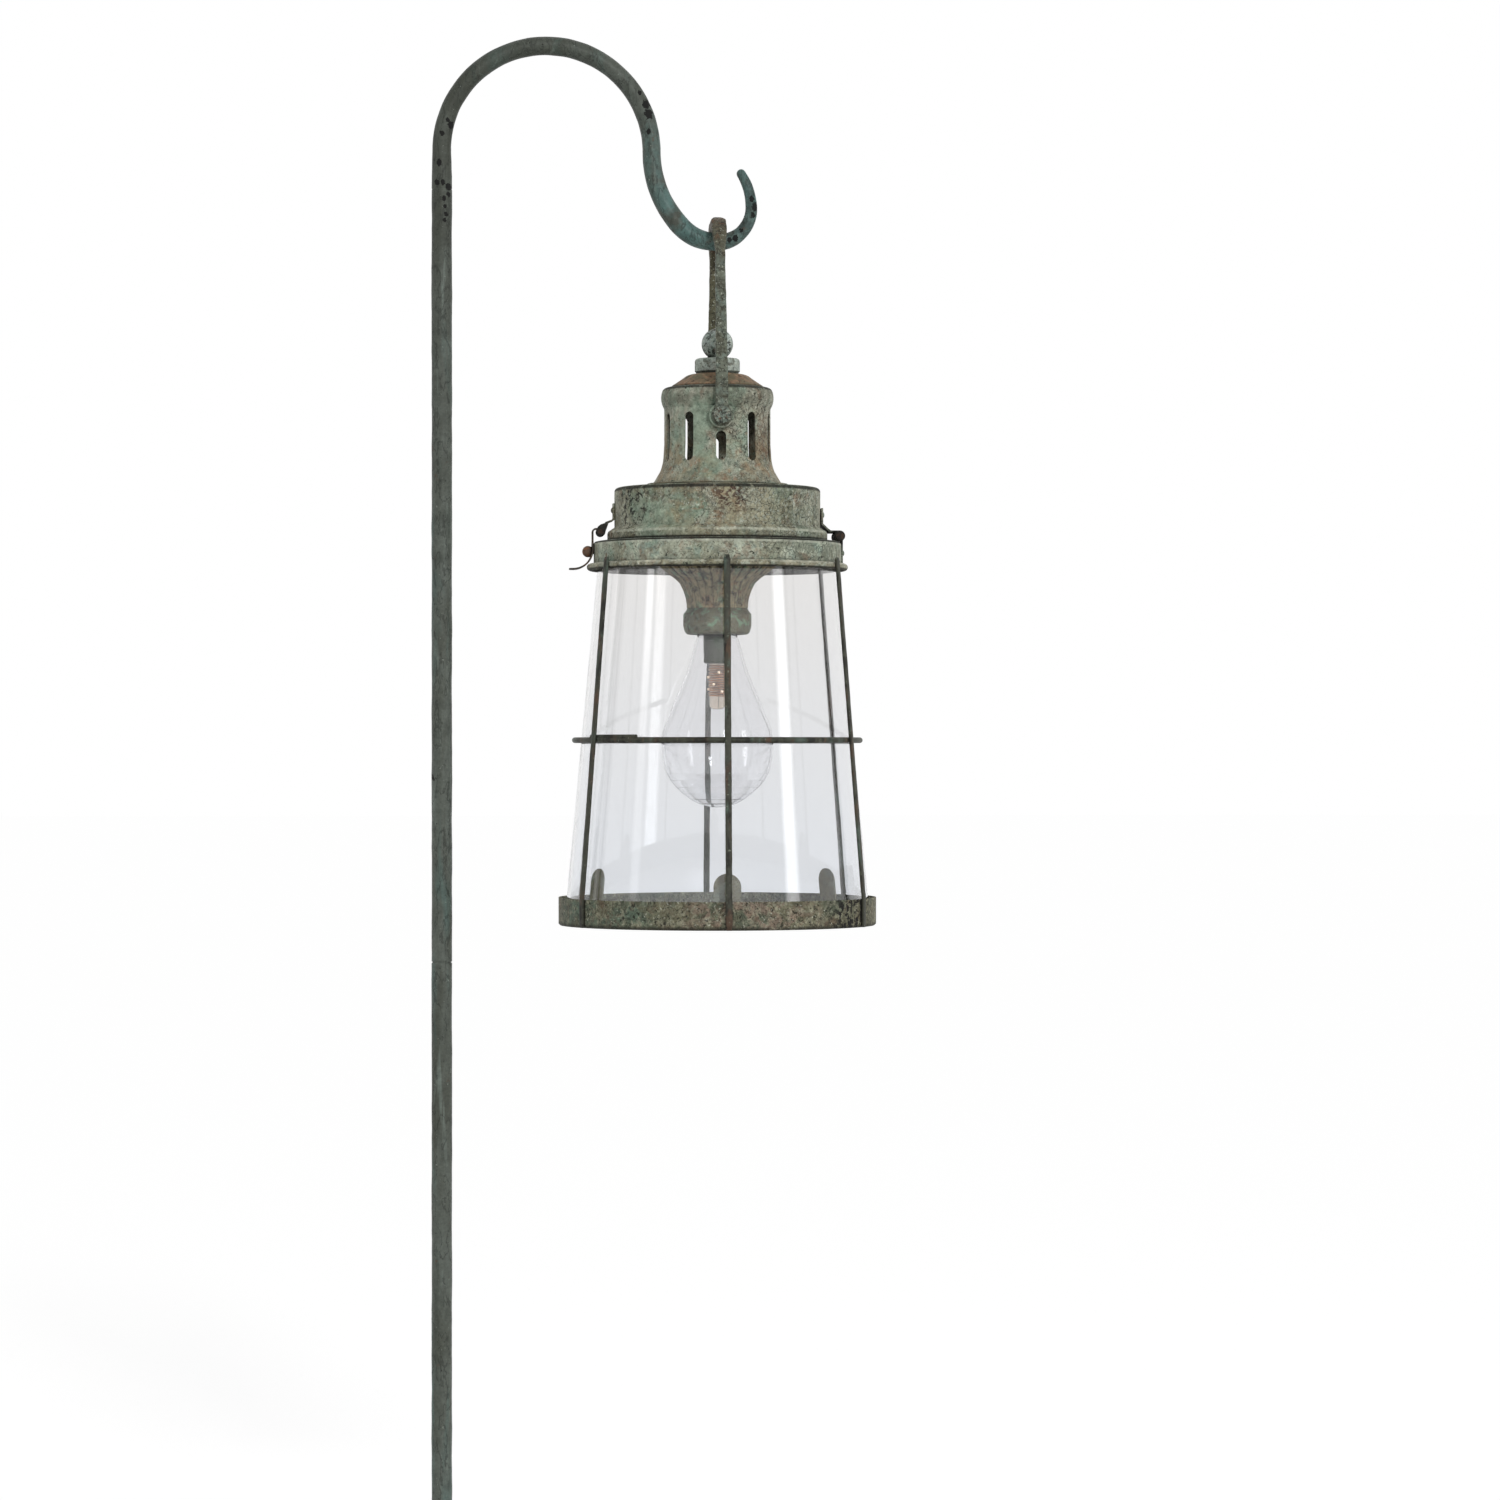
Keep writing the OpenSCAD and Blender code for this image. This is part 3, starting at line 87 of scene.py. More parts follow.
def colour(label, code, words):
    return FloatVectorProperty(
        name=label, description=words, subtype="COLOR", size=3, min=0, max=1, default=linear(code)[:3]
    )


def length(label, metres, words):
    return FloatProperty(name=label, description=words, unit="LENGTH", min=0, default=metres, precision=5)


# ---------- sizes and colours that a user would change ----------

class LampSizes(bpy.types.PropertyGroup):
    rod_sides: IntProperty(
        name="Rod sides", description="Flats round the forged rod and pole", min=12, max=64, default=36
    )
    rod_dent: length("Rod dents", 0.0007, "Depth of the hammer marks on the pole and crook")
    rod_dent_span: length("Rod dent span", 0.045, "Distance between hammer marks along the rod")
    bail_dent: length("Bail dents", 0.0007, "Depth of the hammer marks on the bail")
    crown_spread: FloatProperty(
        name="Crown spread", description="How much wider the bail's crown is hammered",
        min=0, max=0.6, default=0.52,
    )
    bail_mesh: length("Bail mesh", 0.0009, "Size of the bail's mesh cells")
    bar_edge: length("Bar edge", 0.0009, "Rounding of the cage bars' edges")
    bar_dent: length("Bar dents", 0.0003, "Depth of the unevenness of the cage bars")
    bar_count: IntProperty(name="Bars", description="Number of cage bars", min=6, max=6, default=6)
    wire: length("Light wire", 0.0010, "Diameter of the copper wire on the light stick")
    wire_turns: IntProperty(
        name="Wire turns", description="Turns of the copper wire", min=4, max=30, default=13
    )


class LampColours(bpy.types.PropertyGroup):
    pole: colour("Pole green", "#5F655E", "Ground coat of the pole")
    pole_teal: colour("Pole teal", "#566F69", "Worn teal on the pole and crook")
    bail: colour("Bail green", "#666B5D", "Ground coat of the bail")
    verdigris: colour("Verdigris", "#A8A894", "Ground coat of the lid and collar")
    teal: colour("Teal", "#80A08D", "Blue-green bloom on the lid")
    olive: colour("Olive", "#767158", "Olive stain on the sheet metal")
    bloom: colour("Pale bloom", "#AEB5A4", "Chalky bloom on the lid and band")
    rust: colour("Rust", "#7C5A46", "Rust that shows through")
    dark_rust: colour("Dark rust", "#432B25", "Old dark rust in runs and edges")
    dome: colour("Dome brown", "#8E745C", "Rusted dome under the hub")
    bars: colour("Bar patina", "#3F4036", "Ground coat of the cage bars")
    band: colour("Band patina", "#6E6C57", "Ground coat of the bottom band")
    canopy: colour("Canopy patina", "#8C8266", "Ground coat of the pleated canopy")
    iron: colour("Black iron", "#1E1C19", "Hinge and hasp")
    foot: colour("Foot coat", "#3D443F", "Ground coat of the cast foot")
    glass: colour("Glass", "#F1F0EF", "Tint of the glass wall")
    copper: colour("Copper", "#B88360", "Copper wire of the light string")
    light: colour("Light points", "#F3DCC2", "Colour of the light points")


class LampStage(bpy.types.PropertyGroup):
    sun: FloatProperty(name="Key", description="Strength of the low key light", min=0, default=0.95)
    box_light: FloatProperty(
        name="Softboxes", description="Watts from each square metre of a softbox", min=0, default=12
    )
    sky: FloatProperty(name="Room light", description="Strength of the even room light", min=0, default=0.45)
    floor_glow: FloatProperty(
        name="Floor tone", description="Brightness that the floor shows to the camera",
        min=0, max=1, default=0.64,
    )


# ---------- makers' helpers ----------

def add(tree, kind, inputs=None, **settings):
    """Adds a node with its settings, and sets or links its inputs. A node that is given as an input stands
    for its first output."""
    node = tree.nodes.new(kind)
    for key, value in settings.items():
        setattr(node, key, value)
    for key, value in (inputs or {}).items():
        if isinstance(value, bpy.types.Node):
            value = value.outputs[0]
        if isinstance(value, bpy.types.NodeSocket):
            tree.links.new(value, node.inputs[key])
        else:
            node.inputs[key].default_value = value
    return node


def bare_tree(owner):
    """Empty node tree of a new material, world or lamp."""
    owner.use_nodes = True
    owner.node_tree.nodes.clear()
    return owner.node_tree


def put(name, data):
    """New object in the scene."""
    thing = bpy.data.objects.new(name, data)
    bpy.context.scene.collection.objects.link(thing)
    return thing


def settled(host):
    """Plain mesh of a host object with its modifiers applied. The host is removed."""
    depsgraph = bpy.context.evaluated_depsgraph_get()
    mesh = bpy.data.meshes.new_from_object(host.evaluated_get(depsgraph), depsgraph=depsgraph)
    host.modifiers.clear()
    bpy.data.objects.remove(host)
    return mesh


def tone(value):
    """Linear RGBA of a hex code or of a colour from the panel."""
    if isinstance(value, str):
        return linear(value)
    return tuple(value) + (1.0,)


def spot(base, reach, shift=(0, 0, 0), axes=(1, 1, 1)):
    """A place that a coat keeps to: a point in metres, a shift from it in mm, and the reach round it in mm.
    The axes choose the directions that count."""
    return Vector(base) + 0.001 * Vector(shift), 0.001 * reach, axes


def level(height, reach):
    """A place that a coat keeps to all round the lamp: its height in metres, and its reach in mm."""
    return spot((0, 0, height), reach, axes=(0, 0, 1))


def coat(shade, size, low, high, amount=1.0, rough=0.6, height=0.0, squeeze=1.0, form="cloud", ragged=0.4,
         near=None):
    """One coat of a patina. size is its spread in mm, height its thickness in mm, and squeeze makes its
    spots flatter above 1 and taller below it. Its form is a cloud, veins, the walls between cells, a
    single ragged chip, or the valleys of pleats, whose size is their count. low and high say where it
    starts and where it covers."""
    return {
        "shade": tone(shade), "size": size, "low": low, "high": high, "amount": amount, "rough": rough,
        "height": height, "squeeze": squeeze, "form": form, "ragged": ragged, "near": near,
    }


def cloud(tree, place, size, detail=4.0, ragged=0.0):
    """Noise whose largest spots are about size mm wide."""
    return add(tree, "ShaderNodeTexNoise", {
        "Vector": place, "Scale": 1000 / size, "Detail": detail, "Roughness": 0.6, "Distortion": ragged,
    })


def pleat_valleys(tree, place, count):
    """1 along each valley of the canopy and 0 along each ridge."""
    part = add(tree, "ShaderNodeVectorMath", {0: place, 1: (AXIS_X, 0, 0)}, operation="SUBTRACT")
    part = add(tree, "ShaderNodeSeparateXYZ", {0: part})
    turn = add(tree, "ShaderNodeMath", {0: part.outputs["Y"], 1: part.outputs["X"]}, operation="ARCTAN2")
    turn = add(tree, "ShaderNodeMath", {0: turn, 1: count / (2 * math.pi)}, operation="MULTIPLY")
    return add(tree, "ShaderNodeMath", {0: turn, 1: 0.5}, operation="PINGPONG")


def coat_pattern(tree, place, layer):
    """Where a coat lies, from 0 to 1."""
    form, size = layer["form"], layer["size"]
    if form == "pleats":
        valley = pleat_valleys(tree, place, size)
        waver = cloud(tree, place, 6)
        return add(tree, "ShaderNodeMath", {0: waver, 1: 0.5, 2: valley}, operation="MULTIPLY_ADD")
    if form == "cells":
        shaken = cloud(tree, place, size * 0.7)
        shift = (0.001 * size,) * 3
        moved = add(tree, "ShaderNodeVectorMath", {0: shift, "Scale": shaken}, operation="SCALE")
        moved = add(tree, "ShaderNodeVectorMath", {0: place, 1: moved}, operation="ADD")
        walls = add(tree, "ShaderNodeTexVoronoi", {"Vector": moved, "Scale": 1000 / size},
                    feature="DISTANCE_TO_EDGE").outputs["Distance"]
        return add(tree, "ShaderNodeMath", {0: 1.0, 1: walls}, operation="SUBTRACT")
    spread = cloud(tree, place, size, 4.0, layer["ragged"])
    if form == "veins":
        off = add(tree, "ShaderNodeMath", {0: spread, 1: 0.5}, operation="SUBTRACT")
        off = add(tree, "ShaderNodeMath", {0: off}, operation="ABSOLUTE")
        return add(tree, "ShaderNodeMath", {0: 1.0, 1: off}, operation="SUBTRACT")
    return spread


def distance(tree, place, point, axes):
    """How far the surface is from a point, in the directions that count."""
    away = add(tree, "ShaderNodeVectorMath", {0: place, 1: point}, operation="SUBTRACT")
    away = add(tree, "ShaderNodeVectorMath", {0: away, 1: axes}, operation="MULTIPLY")
    return add(tree, "ShaderNodeVectorMath", {0: away}, operation="LENGTH").outputs["Value"]


def coat_cover(tree, place, number, layer):
    """How thickly a coat lies, from 0 to its amount."""
    apart = (0, 0, 0) if layer["form"] == "pleats" else tuple(number * step for step in COAT_STEP)
    scale = (1, 1, layer["squeeze"])
    moved = add(tree, "ShaderNodeMapping", {"Vector": place, "Location": apart, "Scale": scale})
    pattern = coat_pattern(tree, moved, layer)
    if layer["near"]:
        point, reach, axes = layer["near"]
        far = distance(tree, place, point, axes)
    if layer["form"] == "chip":
        pattern = add(tree, "ShaderNodeMath", {0: far, 1: -1 / reach, 2: pattern}, operation="MULTIPLY_ADD")
    cover = add(tree, "ShaderNodeMapRange", {
        "Value": pattern, "From Min": layer["low"], "From Max": layer["high"], "To Max": layer["amount"],
    })
    if layer["near"] and layer["form"] != "chip":
        full = reach * FULL_SHARE
        close = add(tree, "ShaderNodeMapRange", {"Value": far, "From Min": reach, "From Max": full})
        cover = add(tree, "ShaderNodeMath", {0: cover, 1: close}, operation="MULTIPLY")
    return cover


def patina(name, ground, coats, rough=0.55, metallic=0.0, grain=1.4, grain_height=0.05, specular=0.22,
           mottle=0.20, dirt_and_shade=0.7):
    """Weathered finish: a ground colour, coats that each spread over a part of it, fine light and dark
    mottling, and dirt with painted shade in the corners and gaps. grain and grain_height are the skin's, in
    mm."""
    material = bpy.data.materials.new(name)
    tree = bare_tree(material)
    place = add(tree, "ShaderNodeTexCoord").outputs["Object"]
    shade, gloss = tone(ground), rough
    skin = cloud(tree, place, grain, 3.0)
    height = add(tree, "ShaderNodeMath", {0: skin, 1: grain_height}, operation="MULTIPLY")
    for number, layer in enumerate(coats):
        cover = coat_cover(tree, place, number, layer)
        laid = {0: cover, 6: shade, 7: layer["shade"]}
        shade = add(tree, "ShaderNodeMix", laid, data_type="RGBA").outputs[2]
        gloss = add(tree, "ShaderNodeMix", {0: cover, 2: gloss, 3: layer["rough"]})
        if layer["height"]:
            height = add(tree, "ShaderNodeMath", {0: cover, 1: layer["height"], 2: height},
                         operation="MULTIPLY_ADD")
    for size in MOTTLE_SIZES:
        light = add(tree, "ShaderNodeMapRange", {
            "Value": cloud(tree, place, size), "From Min": NOISE_LOW, "From Max": NOISE_HIGH,
            "To Min": 1 - mottle, "To Max": 1 + mottle,
        })
        shade = add(tree, "ShaderNodeMix", {0: 1.0, 6: shade, 7: light}, data_type="RGBA",
                    blend_type="MULTIPLY").outputs[2]
    # Dirt and painted shade: the colour darkens where near surfaces close the surface in, as in corners and
    # gaps
    shelter = add(tree, "ShaderNodeAmbientOcclusion", {"Distance": DIRT_AND_SHADE_REACH}, samples=4)
    cover = add(tree, "ShaderNodeMapRange", {
        "Value": shelter.outputs["AO"], "From Min": DIRT_AND_SHADE_STARTS, "From Max": DIRT_AND_SHADE_THICK, "To Max": dirt_and_shade,
    })
    shade = add(tree, "ShaderNodeMix", {0: cover, 6: shade, 7: tone(DIRT_AND_SHADE)}, data_type="RGBA").outputs[2]
    bump = add(tree, "ShaderNodeBump", {"Strength": 1.0, "Distance": 0.001, "Height": height})
    shader = add(tree, "ShaderNodeBsdfPrincipled", {
        "Base Color": shade, "Roughness": gloss, "Metallic": metallic, "Specular IOR Level": specular,
        "Normal": bump,
    })
    add(tree, "ShaderNodeOutputMaterial", {"Surface": shader})
    return material


def clear(name, tint, ior, rough, ripple, ripple_height, low_tint=None, low=0.0, high=1.0):
    """Clear finish with faint ripples that lets the lamps' light through. Its tint may change from low_tint
    at one height to tint at another."""
    material = bpy.data.materials.new(name)
    tree = bare_tree(material)
    place = add(tree, "ShaderNodeTexCoord").outputs["Object"]
    waves = add(tree, "ShaderNodeTexNoise", {"Vector": place, "Scale": 1000 / ripple, "Detail": 1.0})
    bump = add(tree, "ShaderNodeBump", {"Strength": 1.0, "Distance": 0.001 * ripple_height, "Height": waves})
    shade = tone(tint)
    if low_tint:
        up = add(tree, "ShaderNodeSeparateXYZ", {0: place}).outputs["Z"]
        up = add(tree, "ShaderNodeMapRange", {"Value": up, "From Min": low, "From Max": high})
        shade = add(tree, "ShaderNodeMix", {0: up, 6: tone(low_tint), 7: shade}, data_type="RGBA").outputs[2]
    glass = add(tree, "ShaderNodeBsdfPrincipled", {
        "Base Color": shade, "Roughness": rough, "IOR": ior, "Transmission Weight": 1.0,
        "Normal": bump,
    })
    through = add(tree, "ShaderNodeBsdfTransparent", {"Color": shade})
    shadow = add(tree, "ShaderNodeLightPath").outputs["Is Shadow Ray"]
    both = add(tree, "ShaderNodeMixShader", {0: shadow, 1: glass, 2: through})
    add(tree, "ShaderNodeOutputMaterial", {"Surface": both})
    return material


def dress(material, *names):
    """Gives CAD nodes a finish."""
    for name in names:
        node = NODES[name]
        if not node.material_slots:
            node.data.materials.append(material)
        for slot in node.material_slots:
            slot.material = material


def place_piece(name, mesh, body, material, replaces=()):
    """Puts a finished mesh in the scene, on its body and in place of its CAD nodes."""
    piece = put(name, mesh)
    mesh.materials.clear()
    mesh.materials.append(material)
    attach(piece, body)
    if replaces:
        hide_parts(*replaces)


def shape_tree(name, inputs):
    """Empty Geometry Nodes tree with named inputs."""
    tree = bpy.data.node_groups.new(name, "GeometryNodeTree")
    tree.interface.new_socket(name="Geometry", in_out="INPUT", socket_type="NodeSocketGeometry")
    for label, kind, default in inputs:
        socket = tree.interface.new_socket(name=label, in_out="INPUT", socket_type=kind)
        socket.default_value = default
    tree.interface.new_socket(name="Geometry", in_out="OUTPUT", socket_type="NodeSocketGeometry")
    return tree


def grown(host_mesh, tree, values):
    """Plain mesh that a Geometry Nodes tree makes from a host mesh."""
    host = put("host", host_mesh)
    modifier = host.modifiers.new("shape", "NODES")
    modifier.node_group = tree
    for item in tree.interface.items_tree:
        if item.in_out == "INPUT" and item.name in values:
            modifier[item.identifier] = values[item.name]
    return settled(host)


def uneven(tree, geometry, depth, span, seed_shift):
    """Moves a surface by noise as hammering does, from 0.7 of the depth inwards to 0.15 outwards."""
    where = add(tree, "GeometryNodeInputPosition")
    where = add(tree, "ShaderNodeVectorMath", {0: where, 1: seed_shift}, operation="ADD")
    scale = add(tree, "ShaderNodeMath", {0: 1.0, 1: span}, operation="DIVIDE")
    waves = add(tree, "ShaderNodeTexNoise", {
        "Vector": where, "Scale": scale, "Detail": 3.0, "Roughness": 0.45,
    })
    hammered = add(tree, "ShaderNodeMapRange", {
        "Value": waves, "From Min": 0.3, "From Max": 0.7, "To Min": -0.7, "To Max": 0.15,
    })
    amount = add(tree, "ShaderNodeMath", {0: hammered, 1: depth}, operation="MULTIPLY")
    facing = add(tree, "GeometryNodeInputNormal")
    offset = add(tree, "ShaderNodeVectorMath", {0: facing, "Scale": amount}, operation="SCALE")
    return add(tree, "GeometryNodeSetPosition", {"Geometry": geometry, "Offset": offset})


def finish_tree(tree, geometry, material):
    """Ends a tree: smooth, real and in its finish."""
    smooth = add(tree, "GeometryNodeSetShadeSmooth", {"Geometry": geometry})
    real = add(tree, "GeometryNodeRealizeInstances", {"Geometry": smooth})
    dressed = add(tree, "GeometryNodeSetMaterial", {"Geometry": real, "Material": material})
    add(tree, "NodeGroupOutput", {0: dressed})


# ---------- finishes that several pieces share ----------

def sheet_finish(name, extra=(), ground=None, olive=0.75, teal=0.5, grit=0.75):
    # Sheet steel with a verdigris effect dabbed on, then sanded: chalky, mottled, with rust, dark
    # scratches and pits. The scratches are 0.3 mm and are drawn about 1 mm wide.
    c = bpy.context.scene.lamp_colours
    return patina(name, ground or c.verdigris, [
        coat(c.olive, 34, 0.45, 0.57, olive, 0.6, squeeze=0.6),
        coat(c.teal, 26, 0.51, 0.62, teal, 0.52, 0.03, squeeze=0.6),
        coat("#575D50", 9, 0.54, 0.64, 0.7 * grit, 0.62),
        coat(c.bloom, 5, 0.53, 0.63, grit, 0.7, 0.07),
        coat(c.rust, 18, 0.58, 0.68, 0.55, 0.72, -0.03, squeeze=0.7),
        coat("#2B2C26", 9, 0.98, 0.992, grit, 0.75, -0.06, form="veins", ragged=1.2),
        coat("#1F1E1A", 3.2, 0.605, 0.645, 0.9, 0.8, -0.14, ragged=0.9),
        coat("#D0D4C6", 2.4, 0.6, 0.67, 1.1 * grit, 0.7, 0.07),
        *extra,
    ], rough=0.6, grain=1.6, grain_height=0.14, mottle=0.12 + 0.18 * grit)


def pressed_iron_finish(name, ground, coats):
    # Thin steel parts, blackened or browned by heat and oil: dull, nearly flat, with rust at the edges.
    return patina(name, ground, coats, rough=0.62, grain=1.2, grain_height=0.1, specular=0.2, mottle=0.12)


# ---------- pole and crook ----------

# Radius of the pole, and of the rod that is bent
POLE_R, ROD_R = 0.0095, 0.0086

# Heights of the pole's foot, and height and depth of its joint's groove and of the shoulder's line
ROD_Z0 = 0.0201
JOINT_Z, JOINT_GROOVE = 0.7310, 0.0007
SHOULDER_Z, SHOULDER_GROOVE = 1.4304, 0.00025

# Half widths of a groove at its lips and at its bottom, and the shoulder's straight part and its taper
GROOVE_LIP, GROOVE_BOTTOM = 0.0009, 0.0003
SHOULDER_STRAIGHT, SHOULDER_TAPER = 0.012, 0.024

# Distance between the line's points along the pole, and along the bends
POLE_STEP, BEND_STEP = 0.004, 0.003

# The bends' radii: arch, arm, trough, hook and its tip, with the height of the arch's centre. The arm turns
# into the trough, and the tip ends, at these degrees.
ARCH_Z, ARCH_R = 1.4664, 0.095
ARM_R, TROUGH_R, HOOK_R, TIP_R = 0.099, 0.046, 0.031, 0.058
ARM_END, TIP_END = 222.5, 33
TIP_ROUNDING = (20, 40, 58, 72, 82)

# Chips of the paint on the crook's front, as across and up in metres and their reach in mm
ROD_FRONT = -0.0085
CROOK_CHIPS = (
    (0.0052, 1.4925, 3.4), (0.0081, 1.4878, 5.8), (0.0002, 1.48, 4.4), (-0.0028, 1.454, 5.4),
    (-0.0045, 1.4357, 4.2), (0.0006, 1.4357, 4.2), (0.006, 1.432, 5.4), (0.006, 1.425, 4.2),
    (0.0018, 1.4213, 3.8), (0.0025, 1.414, 3.4), (0.0038, 1.407, 4.0), (0.0025, 1.4015, 3.4),
    (0.1788, 1.519, 3.8), (0.1845, 1.5085, 7.4), (0.1872, 1.4995, 7.8), (0.1872, 1.4836, 4.2),
    (0.2812, 1.4238, 5.2), (0.2841, 1.4166, 6.8), (0.2823, 1.4087, 4.8), (0.2715, 1.3951, 4.4),
    (0.2661, 1.3879, 5.4), (0.2607, 1.3861, 4.4),
)


def pole_finish():
    # Steel painted by brush in layers of green and rubbed back: satin, streaked along the rod, and
    # chipped to a black primer. The chips are 3 to 8 mm.
    c = bpy.context.scene.lamp_colours
    chips = [
        coat("#0E0E0D", 3, 0.00, 0.04, 0.97, 0.75, -0.25, ragged=0.8, form="chip",
             near=spot((across, ROD_FRONT, up), reach, axes=(1, 0.25, 0.8)))
        for across, up, reach in CROOK_CHIPS
    ]
    return patina("brushed_patina_on_steel_rod", c.pole, [
        coat("#464940", 38, 0.47, 0.6, 0.75, 0.5, squeeze=0.22),
        coat(c.pole_teal, 26, 0.53, 0.65, 0.65, 0.42, squeeze=0.14),
        # Teal on the hook, dark on the upper pole and its top, and darker on the hook's right side
        coat("#5E7F7B", 22, 0.4, 0.56, 0.75, 0.4, near=spot((0.262, 0, 1.412), 125)),
        coat("#3B3E36", 30, 0.34, 0.52, 0.62, 0.5, near=spot((0.036, 0, 1.48), 190)),
        coat("#3F423A", 26, 0.36, 0.54, 0.45, 0.5, near=spot((0, 0, 1.29), 250)),
        coat("#353F3D", 9, 0.38, 0.54, 0.72, 0.5, near=spot((0.288, 0, 1.415), 52)),
        coat("#87938B", 9, 0.6, 0.72, 0.45, 0.45, squeeze=0.1),
        coat("#3A4039", 17, 0.57, 0.67, 0.5, 0.55, squeeze=0.4),
        coat("#2A2D29", 13, 0.98, 0.992, 0.55, 0.6, -0.03, form="veins", squeeze=0.3),
        coat("#544437", 15, 0.66, 0.72, 0.6, 0.62, 0.03),
        coat("#131310", 4.5, 0.69, 0.71, 0.95, 0.75, -0.14, ragged=1.2),
        coat("#A4ACA2", 2.6, 0.67, 0.72, 0.6, 0.5, 0.03),
        # The nick in the pole's left side
        coat("#14120E", 7, 0.5, 0.54, 0.95, 0.8, -0.3, near=spot((-0.0085, -0.004, 0.901), 10)),
        *chips,
    ], rough=0.46, grain=2.2, grain_height=0.07, mottle=0.15)


def bend(centre, radius, start, end):
    """Points of an arc in the XZ plane, degrees from +X towards +Z, without its first point."""
    count = max(2, round(abs(math.radians(end - start)) * radius / BEND_STEP))
    turns = [math.radians(start + (end - start) * k / count) for k in range(1, count + 1)]
    return [(centre[0] + radius * math.cos(t), centre[1] + radius * math.sin(t)) for t in turns]


def crook_line():
    """Centreline of the bent rod above the arch's spring, with its radius at each point."""
    arm = (2 * ARCH_R + ARM_R, ARCH_Z)
    turn = math.radians(ARM_END - 180)
    trough = (arm[0] - (ARM_R - TROUGH_R) * math.cos(turn), arm[1] - (ARM_R - TROUGH_R) * math.sin(turn))
    hook = (trough[0], trough[1] - (TROUGH_R - HOOK_R))
    tip = (hook[0] + HOOK_R - TIP_R, hook[1])
    # Each bend's centre, its radius, its start and end in degrees, and the rod's radius at both
    bends = (
        ((ARCH_R, ARCH_Z), ARCH_R, 180, 0, ROD_R, ROD_R),
        (arm, ARM_R, 180, ARM_END, ROD_R, 0.0093),
        (trough, TROUGH_R, ARM_END, 270, 0.0093, 0.0084),
        (hook, HOOK_R, 270, 315, 0.0084, 0.0065),
        (hook, HOOK_R, 315, 360, 0.0065, 0.0057),
        (tip, TIP_R, 0, TIP_END, 0.0057, 0.0044),
    )
    line = []
    for centre, radius, start, end, first, last in bends:
        points = bend(centre, radius, start, end)
        for k, (x, z) in enumerate(points, 1):
            line.append((x, z, first + (last - first) * k / len(points)))
    x, z, r = line[-1]
    along = math.radians(TIP_END + 90)
    for degrees in TIP_ROUNDING:
        out, thick = r * math.sin(math.radians(degrees)), r * math.cos(math.radians(degrees))
        line.append((x + math.cos(along) * out, z + math.sin(along) * out, thick))
    return line


def pole_line():
    """Upright part: the two lengths of pole with the joint's groove, and the crook's shoulder."""
    line = [(0.0, ROD_Z0, POLE_R - 0.0005), (0.0, ROD_Z0 + 0.0006, POLE_R)]
    z = ROD_Z0 + 0.004
    while z < SHOULDER_Z + SHOULDER_STRAIGHT:
        for groove, depth in ((JOINT_Z, JOINT_GROOVE), (SHOULDER_Z, SHOULDER_GROOVE)):
            if abs(z - groove) < 0.0022:
                line += [(0.0, groove - GROOVE_LIP, POLE_R), (0.0, groove - GROOVE_BOTTOM, POLE_R - depth),
                         (0.0, groove + GROOVE_BOTTOM, POLE_R - depth), (0.0, groove + GROOVE_LIP, POLE_R)]
                z = groove + POLE_STEP
        line.append((0.0, z, POLE_R))
        z += POLE_STEP
    while z < ARCH_Z:
        share = min(1.0, (z - SHOULDER_Z - SHOULDER_STRAIGHT) / SHOULDER_TAPER)
        line.append((0.0, z, POLE_R - (POLE_R - ROD_R) * share))
        z += BEND_STEP
    line.append((0.0, ARCH_Z, ROD_R))
    return line


def rod_tree(material):
    """Sweeps a round bar along a line of points, each with its own radius, and hammers it."""
    tree = shape_tree("forged_rod", [
        ("Sides", "NodeSocketInt", 36), ("Dent Depth", "NodeSocketFloat", 0.0007),
        ("Dent Span", "NodeSocketFloat", 0.045),
    ])
    given = add(tree, "NodeGroupInput")
    line = add(tree, "GeometryNodeMeshToCurve", {"Mesh": given.outputs["Geometry"]})
    radius = add(tree, "GeometryNodeInputNamedAttribute", {"Name": "rod_radius"}, data_type="FLOAT")
    ring = add(tree, "GeometryNodeCurvePrimitiveCircle", {
        "Resolution": given.outputs["Sides"], "Radius": 1.0,
    })
    bar = add(tree, "GeometryNodeCurveToMesh", {
        "Curve": line, "Profile Curve": ring, "Scale": radius, "Fill Caps": True,
    })
    # Broad marks of the hammer first, then smaller ones, less than half as deep and a quarter as far apart
    wavy = uneven(tree, bar, given.outputs["Dent Depth"], given.outputs["Dent Span"], (0, 0, 0.3))
    small = add(tree, "ShaderNodeMath", {0: given.outputs["Dent Depth"], 1: 0.45}, operation="MULTIPLY")
    near = add(tree, "ShaderNodeMath", {0: given.outputs["Dent Span"], 1: 0.25}, operation="MULTIPLY")
    dented = uneven(tree, wavy, small, near, (0.5, 0, 0))
    finish_tree(tree, dented, material)
    return tree


class LAMP_OT_pole_and_crook(bpy.types.Operator):
    """Forges the pole and its crook as one hammered rod"""
    bl_idname = "lamp.pole_and_crook"
    bl_label = "Pole and crook"

    def execute(self, context):
        sizes = context.scene.lamp_sizes
        line = pole_line() + crook_line()
        host = bpy.data.meshes.new("rod_line")
        host.from_pydata([(x, 0.0, z) for x, z, _ in line], [(k, k + 1) for k in range(len(line) - 1)], [])
        radius = host.attributes.new("rod_radius", "FLOAT", "POINT")
        radius.data.foreach_set("value", [r for _, _, r in line])
        finish = pole_finish()
        mesh = grown(host, rod_tree(finish), {
            "Sides": sizes.rod_sides, "Dent Depth": sizes.rod_dent, "Dent Span": sizes.rod_dent_span,
        })
        place_piece("forged_pole", mesh, "stand", finish,
                    ("lower_pole", "upper_pole", "crook"))
        return {"FINISHED"}


# ---------- foot ----------

